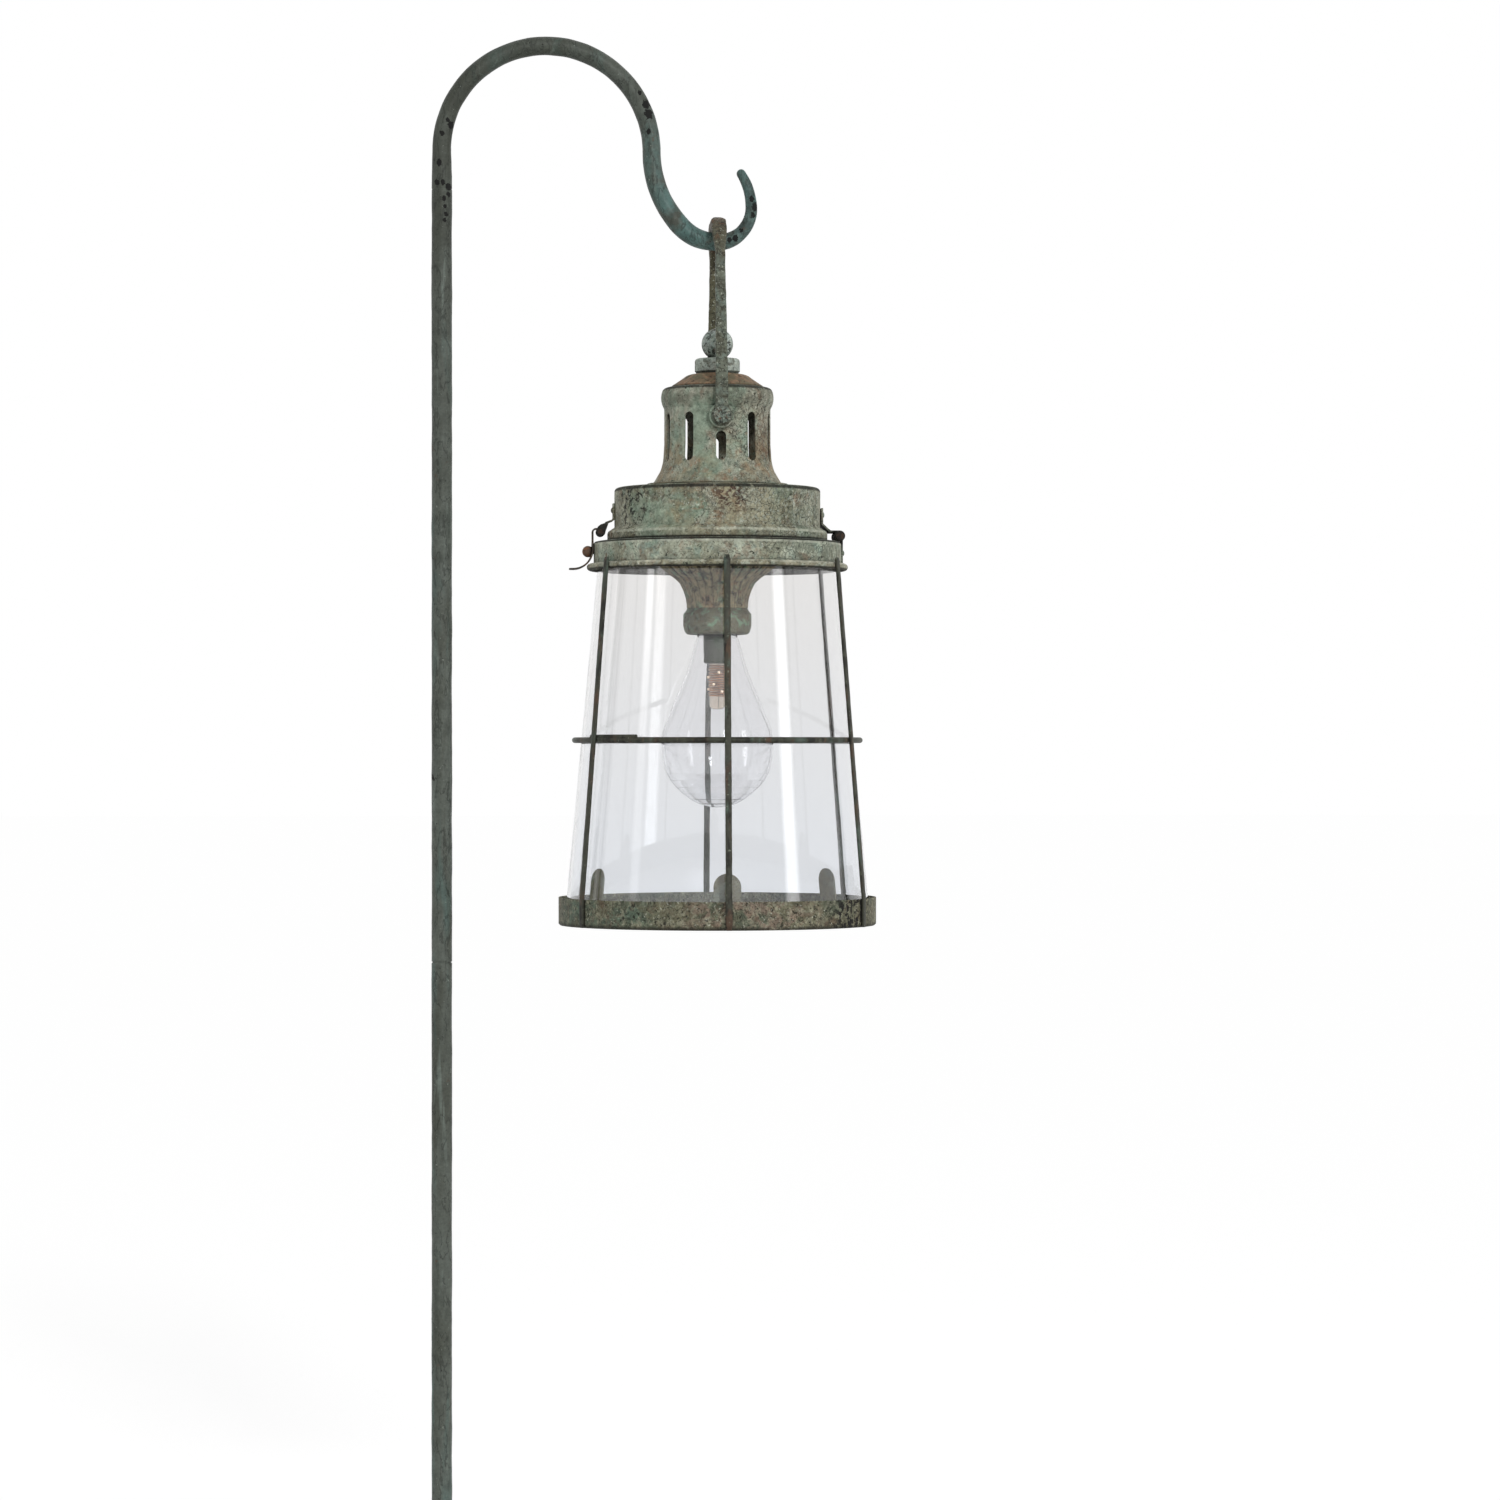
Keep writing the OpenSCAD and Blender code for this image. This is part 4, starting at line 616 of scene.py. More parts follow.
class LAMP_OT_foot(bpy.types.Operator):
    """Finishes the cast foot, its socket, its pad and its bolt"""
    bl_idname = "lamp.foot"
    bl_label = "Foot"

    def execute(self, context):
        c = context.scene.lamp_colours
        # Sand-cast iron under a thick green-black paint: a bumpy skin of 2 to 3 mm, worn in small spots.
        dress(patina("painted_sand_cast_iron", c.foot, [
            coat("#4D564E", 40, 0.48, 0.62, 0.7, 0.55),
            coat("#5F776C", 18, 0.58, 0.68, 0.45, 0.5, 0.03),
            coat("#5A4636", 9, 0.66, 0.72, 0.6, 0.7, -0.05),
            coat("#161613", 3, 0.69, 0.72, 0.9, 0.8, -0.12),
        ], rough=0.5, grain=2.6, grain_height=0.22), "base_plate", "base_socket")
        # Moulded rubber: matt, nearly black, with dust in clouds of 6 mm.
        dress(patina("moulded_rubber", "#232422", [
            coat("#4A4A45", 6, 0.58, 0.72, 0.35, 0.9),
        ], rough=0.85, grain=0.8, grain_height=0.04, specular=0.3),
            "base_pad", "lower_gasket", "upper_gasket", "neck_gasket")
        # Zinc-plated turned steel: bright and streaky, with a little white bloom.
        dress(patina("zinc_plated_steel", "#8F9290", [
            coat("#6F726F", 7, 0.52, 0.64, 0.6, 0.4, squeeze=5),
            coat("#B9BCB6", 4, 0.64, 0.72, 0.5, 0.6),
        ], rough=0.32, metallic=1.0, grain=0.8, grain_height=0.02),
            "base_bolt", "base_washer", "pole_plug", "pole_joiner", "finial_stud", "stud_nut",
            "battery_contacts")
        return {"FINISHED"}


# ---------- bail ----------

# Spans of the hammer marks. The crown spreads from 34 mm under the bail's top and fully from 14 mm under it,
# and is lifted by this share of the way out beyond the hook's half width, so that it clears the hook's curve.
MARK_SPAN, FINE_MARK_SPAN = 0.014, 0.005
CROWN_DEPTH, CROWN_EASE = 0.034, 0.020
CROWN_LIFT, HOOK_HALF_WIDTH = 0.4, 0.004


class LAMP_OT_bail(bpy.types.Operator):
    """Hammers the forged bail"""
    bl_idname = "lamp.bail"
    bl_label = "Bail"

    def execute(self, context):
        c, sizes = context.scene.lamp_colours, context.scene.lamp_sizes
        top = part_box("bail")[1].z
        crown = (AXIS_X, 0, top - 0.010)
        # Forged flat steel with the same paint, browned where the hook rubs: olive crown and back leg, green
        # front leg, fine specks.
        finish = patina("forged_bail_patina", c.bail, [
            coat("#76847A", 14, 0.5, 0.6, 0.7, 0.55, 0.03),
            coat("#4B4A3D", 8, 0.52, 0.62, 0.75, 0.6),
            coat("#56533F", 14, 0.28, 0.42, 0.9, 0.6, near=spot((0, 0.07, 0), 75, axes=(0, 1, 0))),
            coat("#4F4735", 12, 0.28, 0.42, 0.95, 0.52, near=spot(crown, 60)),
            coat("#6A4A36", 7, 0.53, 0.6, 0.7, 0.62, near=spot(crown, 55)),
            coat("#837C61", 4, 0.57, 0.64, 0.65, 0.5, near=spot(crown, 55)),
            coat("#1F1C17", 8, 0.972, 0.988, 0.7, 0.7, -0.08, form="veins"),
            coat("#B4B9AA", 2.6, 0.6, 0.66, 0.8, 0.65, 0.08),
            coat("#1B1A17", 2.6, 0.64, 0.67, 0.9, 0.8, -0.12),
        ], rough=0.55, grain=1.8, grain_height=0.16)
        mesh = NODES["bail"].data.copy()
        forged = bmesh.new()
        forged.from_mesh(mesh)
        bmesh.ops.remove_doubles(forged, verts=forged.verts, dist=1e-6)
        bmesh.ops.recalc_face_normals(forged, faces=forged.faces)
        forged.to_mesh(mesh)
        forged.free()
        host = put("bail_host", mesh)
        cells = host.modifiers.new("cells", "REMESH")
        cells.mode = "VOXEL"
        cells.voxel_size = sizes.bail_mesh
        ease = host.modifiers.new("ease", "SMOOTH")
        ease.iterations = 4
        ease.factor = 0.5
        mesh = settled(host)
        facing = [vertex.normal.copy() for vertex in mesh.vertices]
        for vertex, normal in zip(mesh.vertices, facing):
            wave = noise.noise(vertex.co / MARK_SPAN)
            wave += 0.5 * noise.noise(vertex.co / FINE_MARK_SPAN + Vector((3, 1, 2)))
            vertex.co -= normal * sizes.bail_dent * max(0.0, 0.3 + 0.5 * wave)
            rise = min(1.0, max(0.0, (vertex.co.z - top + CROWN_DEPTH) / CROWN_EASE))
            side = (vertex.co.x - AXIS_X) * (1 + sizes.crown_spread * rise)
            vertex.co.x = AXIS_X + side
            vertex.co.z += CROWN_LIFT * rise * max(0.0, abs(side) - HOOK_HALF_WIDTH)
        mesh.polygons.foreach_set("use_smooth", [True] * len(mesh.polygons))
        place_piece("forged_bail", mesh, "bail", finish, ("bail",))
        return {"FINISHED"}


# ---------- lid ----------

class LAMP_OT_lid(bpy.types.Operator):
    """Finishes the drum, chimney, dome, hub, ball and collar"""
    bl_idname = "lamp.lid"
    bl_label = "Lid"

    def execute(self, context):
        c = context.scene.lamp_colours
        low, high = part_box("lid_drum")
        front = Vector((AXIS_X, low.y, high.z))
        drum = NODES["lid_drum"].data.vertices
        shoulder = max(v.co.z for v in drum if math.hypot(v.co.x - AXIS_X, v.co.y) > INSIDE_DRUM)
        dress(sheet_finish("verdigris_on_drum", [
            # Pale olive and brown round the middle, with dark rust at the top edge and in drips
            coat("#A29A7C", 22, 0.44, 0.56, 0.7, 0.65, squeeze=0.6, near=spot(front, 75, (-4, 0, -16))),
            coat("#8F7357", 9, 0.54, 0.62, 0.6, 0.7, squeeze=1.6, near=spot(front, 45, (-14, 0, -24))),
            coat(c.dark_rust, 4, 0.51, 0.56, 0.9, 0.65, -0.06, squeeze=0.45, ragged=0.9,
                 near=spot(front, 22, (-30, 0, -3))),
            coat(c.dark_rust, 4.4, 0.5, 0.55, 0.9, 0.65, -0.06, squeeze=1.5, ragged=0.9,
                 near=spot(front, 24, (6, 0, -14))),
            # Gritty and darker at the right, green and chipped at the left
            coat("#1C1B17", 4.6, 0.945, 0.985, 0.9, 0.8, -0.1, form="cells",
                 near=spot(front, 72, (62, 30, -20))),
            coat("#66705F", 16, 0.44, 0.58, 0.5, 0.7, near=spot(front, 50, (74, 30, -20))),
            coat("#AEB7AC", 3.0, 0.55, 0.62, 0.55, 0.7, 0.08, near=spot(front, 65, (55, 30, -18))),
            coat("#93A692", 18, 0.42, 0.54, 0.6, 0.6, near=spot(front, 45, (-52, 30, -22))),
            coat("#181714", 5, 0.54, 0.58, 0.9, 0.8, -0.2, near=spot(front, 34, (-82, 50, -20))),
            # Painted highlight along the rim's top edge, and a darker band round the rim's middle
            coat("#BFC2B0", 12, 0.36, 0.5, 0.65, 0.7, near=level(PARTING_Z + RIM_HEIGHT, 1.6)),
            coat("#55574C", 12, 0.4, 0.54, 0.3, 0.7, near=level(PARTING_Z + 0.55 * RIM_HEIGHT, 2.6)),
            # Painted shadow of the gap along the parting line, and painted shade under the drum's shoulder
            coat("#141411", 9, 0.2, 0.3, 0.95, 0.8, near=level(PARTING_Z, 3.2)),
            coat("#23231E", 9, 0.3, 0.42, 0.9, 0.8, near=level(shoulder - 0.0021, 2.1)),
        ]), "lid_drum")
        low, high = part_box("vent_chimney")
        foot = (AXIS_X, 0, low.z)
        dress(sheet_finish("verdigris_on_chimney", [
            # Brown foot, green front, darker cap, gritty right side, and a dark line under the top edge
            coat("#A08B6C", 14, 0.44, 0.58, 0.78, 0.65, near=spot(foot, 85)),
            coat("#96694C", 6, 0.58, 0.64, 0.65, 0.7, near=spot(foot, 90)),
            coat("#8EA692", 24, 0.42, 0.56, 0.65, 0.5, near=spot((AXIS_X, low.y, high.z), 60, (-20, 0, -40))),
            coat("#5F5F50", 14, 0.44, 0.58, 0.55, 0.6, near=level(high.z, 30)),
            coat("#2A2822", 4.4, 0.945, 0.985, 0.8, 0.8, -0.08, form="cells",
                 near=spot((AXIS_X, low.y * 0.7, high.z), 58, (34, 0, -40))),
            coat("#5E4433", 9, 0.5, 0.6, 0.6, 0.7,
                 near=spot((AXIS_X, low.y * 0.4, high.z), 34, (50, 0, -48))),
            coat("#1F1F1A", 9, 0.3, 0.42, 0.85, 0.8, near=level(high.z - 0.002, 2.0)),
        ], ground="#ABAB9A", olive=0.6, grit=0.56), "vent_chimney", "pivot_bosses")
        dress(sheet_finish("verdigris_on_collar", [
            # Rust and green patches, a gritty right side, a painted highlight on the upper edge and a painted
            # shadow of the gap above it
            coat("#6A503E", 13, 0.56, 0.64, 0.65, 0.7, -0.03),
            coat("#8FA095", 9, 0.53, 0.64, 0.6, 0.6),
            coat("#1C1B17", 4.5, 0.945, 0.985, 0.9, 0.8, -0.1, form="cells",
                 near=spot((AXIS_X, 0, PARTING_Z), 76, (80, -80, 0))),
            coat("#6A7162", 12, 0.42, 0.56, 0.62, 0.7, near=spot((AXIS_X, 0, PARTING_Z), 70, (85, -70, 0))),
            coat("#C2C5B4", 12, 0.36, 0.5, 0.6, 0.7, near=level(PARTING_Z - 0.35 * RIM_HEIGHT, 1.6)),
            coat("#141411", 9, 0.2, 0.3, 0.95, 0.8, near=level(PARTING_Z - 0.15 * RIM_HEIGHT, 1.1)),
        ], ground="#BFC5B1", olive=0.55, teal=0.6, grit=0.56), "collar")
        # Round wire under the same paint: a painted highlight on its crest and painted shade in the corner
        # below.
        low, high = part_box("collar_bead")
        dress(sheet_finish("bead_wire_with_painted_light", [
            coat("#C4C4B2", 10, 0.38, 0.52, 0.6, 0.6, near=level(high.z, 2.6)),
            coat("#1A1915", 9, 0.3, 0.42, 0.9, 0.8, near=level(low.z, 2.4)),
        ], ground="#A8A48E", olive=0.6, teal=0.25), "collar_bead")
        # Spun ball with thick dabs of the same paint left on it as a dark crust.
        dress(sheet_finish("crusted_ball", [
            coat("#26241F", 5, 0.52, 0.58, 0.85, 0.8, 0.22),
            coat("#5A4331", 4, 0.6, 0.66, 0.7, 0.7, 0.1),
        ], ground="#BCC8C2", olive=0.3, grit=0.7), "finial_ball")
        # Rusted spun steel: brown, rough, with olive stain and a few orange blooms.
        dress(patina("rusted_spun_steel", c.dome, [
            coat("#5E5C47", 14, 0.45, 0.57, 0.8, 0.65),
            coat("#7C5A45", 8, 0.56, 0.66, 0.5, 0.75, 0.06),
            coat("#33271F", 5, 0.57, 0.65, 0.8, 0.75, -0.06),
            coat("#A9AC98", 2.2, 0.67, 0.71, 0.6, 0.7, 0.04),
        ], rough=0.66, grain=1.4, grain_height=0.16), "vent_dome")
        # Turned steel hub under one coat of the same paint: pale green, with brown worn through.
        dress(sheet_finish("dull_green_hub", [
            coat("#4C4638", 9, 0.54, 0.64, 0.7, 0.6),
        ], ground="#BAC6BE", olive=0.25, teal=0.4, grit=0.5), "top_hub")
        # Round-headed rivets and slotted screws, painted over and crusty on their crowns.
        dress(sheet_finish("painted_rivets", [
            coat("#2C2A25", 3, 0.52, 0.6, 0.8, 0.8, 0.2),
            coat("#6E4D38", 2.6, 0.58, 0.66, 0.7, 0.75, 0.1),
        ], ground="#7C887D"), "chimney_rivets", "lid_rivets", "collar_rivets", "pivot_screws")
        return {"FINISHED"}


class LAMP_OT_hinge_and_hasp(bpy.types.Operator):
    """Finishes the hinge, the hasp, its bracket and its catch"""
    bl_idname = "lamp.hinge_and_hasp"
    bl_label = "Hinge and hasp"

    def execute(self, context):
        c = context.scene.lamp_colours
        dress(pressed_iron_finish("blackened_hinge_iron", c.iron, [
            coat("#4A3A2E", 8, 0.52, 0.62, 0.7, 0.7),
            coat("#5B655B", 5, 0.6, 0.68, 0.5, 0.65, 0.04),
            coat("#141311", 2.5, 0.64, 0.7, 0.8, 0.8, -0.1),
        ]), "hinge_pin", "hasp_pin")
        # Leaves painted with the sheet that they lie on, and bare black iron round their pins.
        for name, pin, reach, leaves in (
                ("painted_hinge_leaf", "hinge_pin", 16, ("hinge_leaf_collar", "hinge_leaf_lid")),
                ("painted_hasp_bracket", "hasp_pin", 18, ("hasp_bracket",))):
            bare = sum(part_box(pin), Vector()) / 2
            dress(sheet_finish(name, [
                coat(c.iron, 12, 0.1, 0.2, 0.95, 0.7, near=spot(bare, reach, axes=(1, 0, 1))),
            ], ground="#8A8C7C"), *leaves)
        # Spring steel browned by heat: brown, with green paint and black specks left on it.
        dress(pressed_iron_finish("browned_spring_steel", "#3F3A33", [
            coat("#5C4433", 7, 0.5, 0.6, 0.8, 0.62),
            coat("#6C7568", 5, 0.6, 0.68, 0.5, 0.6, 0.03),
            coat("#1B1916", 2.5, 0.62, 0.68, 0.8, 0.75, -0.06),
        ]), "hasp_strap")
        # Turned steel ball of the catch, rusted: the warmest brown on the lamp.
        dress(pressed_iron_finish("browned_catch_ball", "#6B5546", [
            coat("#8A5A3E", 4, 0.5, 0.6, 0.8, 0.6),
            coat("#3A2E27", 3, 0.58, 0.66, 0.8, 0.7),
        ]), "catch_stud")
        return {"FINISHED"}


# ---------- cage ----------

# Course of a bar's middle, as out from the lantern's axis and down from the parting line: straight along
# the glass in this many steps, then over the band's top edge and down its face
BAR_TOP, BAR_KNEE, BAR_STEPS = (0.1195, 0.0162), (0.14519, 0.3166), 75
BAR_SHOULDER = (0.1456, 0.319)
BAR_FACE, BAR_DROPS = 0.1457, (0.3215, 0.326, 0.331, 0.337, 0.343, 0.3478)

# Half its width and thickness, the share that its ends keep of them, and the span of its unevenness
BAR_HALF_WIDTH, BAR_HALF_THICKNESS, BAR_END_SHARE = 0.00295, 0.00135, 0.75
BAR_DENT_SPAN = 0.012


def bar_mesh(edge):
    """One flat bar at the front of the lantern, with rounded edges and closed ends."""
    course = [
        (BAR_TOP[0] + (BAR_KNEE[0] - BAR_TOP[0]) * k / BAR_STEPS,
         BAR_TOP[1] + (BAR_KNEE[1] - BAR_TOP[1]) * k / BAR_STEPS)
        for k in range(BAR_STEPS + 1)
    ]
    course += [BAR_SHOULDER] + [(BAR_FACE, drop) for drop in BAR_DROPS]
    path = [Vector((AXIS_X, -out, PARTING_Z - drop)) for out, drop in course]
    wide, thick = BAR_HALF_WIDTH - edge, BAR_HALF_THICKNESS - edge
    outline = []
    for sx, sy, start in ((1, 1, 0), (-1, 1, 90), (-1, -1, 180), (1, -1, 270)):
        for degrees in (0, 30, 60, 90):
            t = math.radians(start + degrees)
            outline.append((sx * wide + edge * math.cos(t), sy * thick + edge * math.sin(t)))
    form = bmesh.new()
    rings = []
    across = Vector((1, 0, 0))
    for k, point in enumerate(path):
        along = (path[min(k + 1, len(path) - 1)] - path[max(k - 1, 0)]).normalized()
        out = along.cross(across).normalized()
        share = BAR_END_SHARE if k in (0, len(path) - 1) else 1.0
        rings.append([form.verts.new(point + (across * u + out * v) * share) for u, v in outline])
    count = len(outline)
    for one, two in zip(rings, rings[1:]):
        for k in range(count):
            form.faces.new((one[k], one[(k + 1) % count], two[(k + 1) % count], two[k]))
    form.faces.new(rings[0])
    form.faces.new(rings[-1])
    bmesh.ops.recalc_face_normals(form, faces=form.faces)
    mesh = bpy.data.meshes.new("bar")
    form.to_mesh(mesh)
    form.free()
    return mesh


def bars_tree(material):
    """Copies one bar round the lantern's axis, and makes each a little uneven in its own way."""
    tree = shape_tree("cage_bars", [
        ("Bars", "NodeSocketInt", 6), ("Axis X", "NodeSocketFloat", AXIS_X),
        ("Dent Depth", "NodeSocketFloat", 0.0003),
    ])
    given = add(tree, "NodeGroupInput")
    centre = add(tree, "ShaderNodeCombineXYZ", {"X": given.outputs["Axis X"]})
    back = add(tree, "ShaderNodeVectorMath", {0: centre, "Scale": -1.0}, operation="SCALE")
    bar = add(tree, "GeometryNodeTransform", {"Geometry": given.outputs["Geometry"], "Translation": back})
    spots = add(tree, "GeometryNodeMeshCircle", {"Vertices": given.outputs["Bars"], "Radius": 0.0})
    number = add(tree, "GeometryNodeInputIndex")
    step = add(tree, "ShaderNodeMath", {0: 2 * math.pi, 1: given.outputs["Bars"]}, operation="DIVIDE")
    angle = add(tree, "ShaderNodeMath", {0: number, 1: step}, operation="MULTIPLY")
    turn = add(tree, "FunctionNodeAxisAngleToRotation", {"Axis": (0, 0, 1), "Angle": angle})
    ring = add(tree, "GeometryNodeInstanceOnPoints", {"Points": spots, "Instance": bar, "Rotation": turn})
    placed = add(tree, "GeometryNodeTransform", {"Geometry": ring, "Translation": centre})
    real = add(tree, "GeometryNodeRealizeInstances", {"Geometry": placed})
    dented = uneven(tree, real, given.outputs["Dent Depth"], BAR_DENT_SPAN, (0, 0.2, 0))
    finish_tree(tree, dented, material)
    return tree


class LAMP_OT_cage(bpy.types.Operator):
    """Makes the cage bars, and finishes the ring, band, floor and tabs"""
    bl_idname = "lamp.cage"
    bl_label = "Cage"

    def execute(self, context):
        c, sizes = context.scene.lamp_colours, context.scene.lamp_sizes
        # Flat steel strip, riveted and painted thinly: dark olive with bare brown edges and green runs.
        strip = patina("painted_steel_strip", c.bars, [
            coat("#5E4536", 14, 0.53, 0.62, 0.6, 0.6, squeeze=0.4),
            coat("#54665C", 16, 0.55, 0.65, 0.6, 0.5, squeeze=0.35),
            coat("#1D1C18", 9, 0.53, 0.62, 0.8, 0.6, squeeze=0.4),
            coat("#8F9683", 3, 0.64, 0.7, 0.7, 0.65, 0.04),
        ], rough=0.5, grain=1.6, grain_height=0.1)
        mesh = grown(bar_mesh(sizes.bar_edge), bars_tree(strip), {
            "Bars": sizes.bar_count, "Axis X": AXIS_X, "Dent Depth": sizes.bar_dent,
        })
        place_piece("cage_bars", mesh, "cage", strip,
                    tuple("cage_bar_%d" % k for k in range(1, 7)))
        dress(strip, "mid_ring")
        # Rolled band with the paint stippled on: pale grains of 2 to 5 mm on olive, green at its left,
        # brown in the middle, and black pits at its right.
        left = (AXIS_X, BAND_LOW.y * 0.6, BAND_HIGH.z)
        front = (AXIS_X, BAND_LOW.y, BAND_HIGH.z)
        pits = (AXIS_X, BAND_LOW.y * 0.62, BAND_LOW.z)
        dress(patina("stippled_band", c.band, [
            coat("#566050", 42, 0.48, 0.58, 0.75, 0.6),
            coat("#647868", 15, 0.46, 0.58, 0.65, 0.58, near=spot(left, 85, (-110, 0, 0))),
            coat("#8F7C6D", 14, 0.46, 0.56, 0.72, 0.62, near=spot(front, 85, (20, 0, -10))),
            coat("#665444", 17, 0.55, 0.63, 0.6, 0.65),
            coat("#9C9A85", 5.5, 0.51, 0.6, 0.6, 0.7, 0.12),
            coat("#24231D", 8, 0.976, 0.99, 0.65, 0.7, -0.08, form="veins", ragged=1.0),
            coat("#222119", 3.6, 0.58, 0.63, 0.85, 0.75, -0.1),
            coat("#C6C8B8", 2.4, 0.62, 0.68, 0.75, 0.7, 0.08),
            coat("#23221B", 6, 0.3, 0.44, 0.8, 0.7, near=level(BAND_LOW.z, 4)),
            coat("#121110", 4, 0.5, 0.53, 0.97, 0.8, -0.25, near=spot(pits, 44, (118, 0, 12))),
        ], rough=0.62, grain=1.5, grain_height=0.18, mottle=0.28), "bottom_band")
        # Sheet inside the lantern, less weathered: plain olive with a little brown.
        dress(patina("olive_inner_sheet", "#646150", [
            coat("#6E756A", 20, 0.5, 0.62, 0.7, 0.55),
            coat("#564A3C", 12, 0.56, 0.66, 0.5, 0.6),
            coat("#33342C", 4, 0.6, 0.68, 0.6, 0.7, -0.05),
        ], rough=0.55, grain=1.6, grain_height=0.08), "glass_tabs")
        # Zinc-coated sheet gone dull: pale grey, bluer at the left, dusty pink-brown at the right.
        dress(patina("dull_zinc_floor", "#ACA7A4", [
            coat("#B4C1C8", 60, 0.3, 0.45, 0.8, 0.45, near=spot((AXIS_X, 0, BAND_LOW.z), 140, (-90, 0, 0))),
            coat("#8E7F78", 26, 0.5, 0.62, 0.5, 0.6),
            coat("#5F5A52", 7, 0.6, 0.68, 0.6, 0.7, -0.05),
        ], rough=0.45, grain=1.6, grain_height=0.06), "floor_pan")
        return {"FINISHED"}


# ---------- glass ----------

class LAMP_OT_glass(bpy.types.Operator):
    """Finishes the glass and the bulb"""
    bl_idname = "lamp.glass"
    bl_label = "Glass"

    def execute(self, context):
        c = context.scene.lamp_colours
        # Drawn soda-lime glass, 3 mm: faintly grey, a little bluer low down, with slow ripples of 40 mm.
        low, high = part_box("glass_chimney")
        dress(clear("drawn_soda_lime_glass", c.glass, 1.5, 0.0, 40, 0.10, "#EEF0F3", low.z, high.z),
              "glass_chimney")
        # Thin blown glass: nearly colourless, its outline shows as a grey line.
        dress(clear("blown_bulb_glass", "#FDFDFE", 1.5, 0.0, 25, 0.08), "bulb_glass")
        return {"FINISHED"}


# ---------- light in the lantern ----------

# Height of the copper wire's coil, and how far under the sleeve it starts
COIL_LENGTH, COIL_DROP = 0.029, 0.030


def wire_tree(material):
    """Winds a thin round wire up a stick."""
    tree = shape_tree("light_wire", [
        ("Turns", "NodeSocketFloat", 13.0), ("Coil Radius", "NodeSocketFloat", 0.0077),
        ("Coil Length", "NodeSocketFloat", COIL_LENGTH), ("Wire Radius", "NodeSocketFloat", 0.0005),
        ("Foot", "NodeSocketVector", (0, 0, 0)),
    ])
    given = add(tree, "NodeGroupInput")
    coil = add(tree, "GeometryNodeCurveSpiral", {
        "Resolution": 28, "Rotations": given.outputs["Turns"], "Start Radius": given.outputs["Coil Radius"],
        "End Radius": given.outputs["Coil Radius"], "Height": given.outputs["Coil Length"],
    })
    ring = add(tree, "GeometryNodeCurvePrimitiveCircle", {
        "Resolution": 8, "Radius": given.outputs["Wire Radius"],
    })
    wire = add(tree, "GeometryNodeCurveToMesh", {"Curve": coil, "Profile Curve": ring, "Fill Caps": True})
    placed = add(tree, "GeometryNodeTransform", {"Geometry": wire, "Translation": given.outputs["Foot"]})
    finish_tree(tree, placed, material)
    return tree


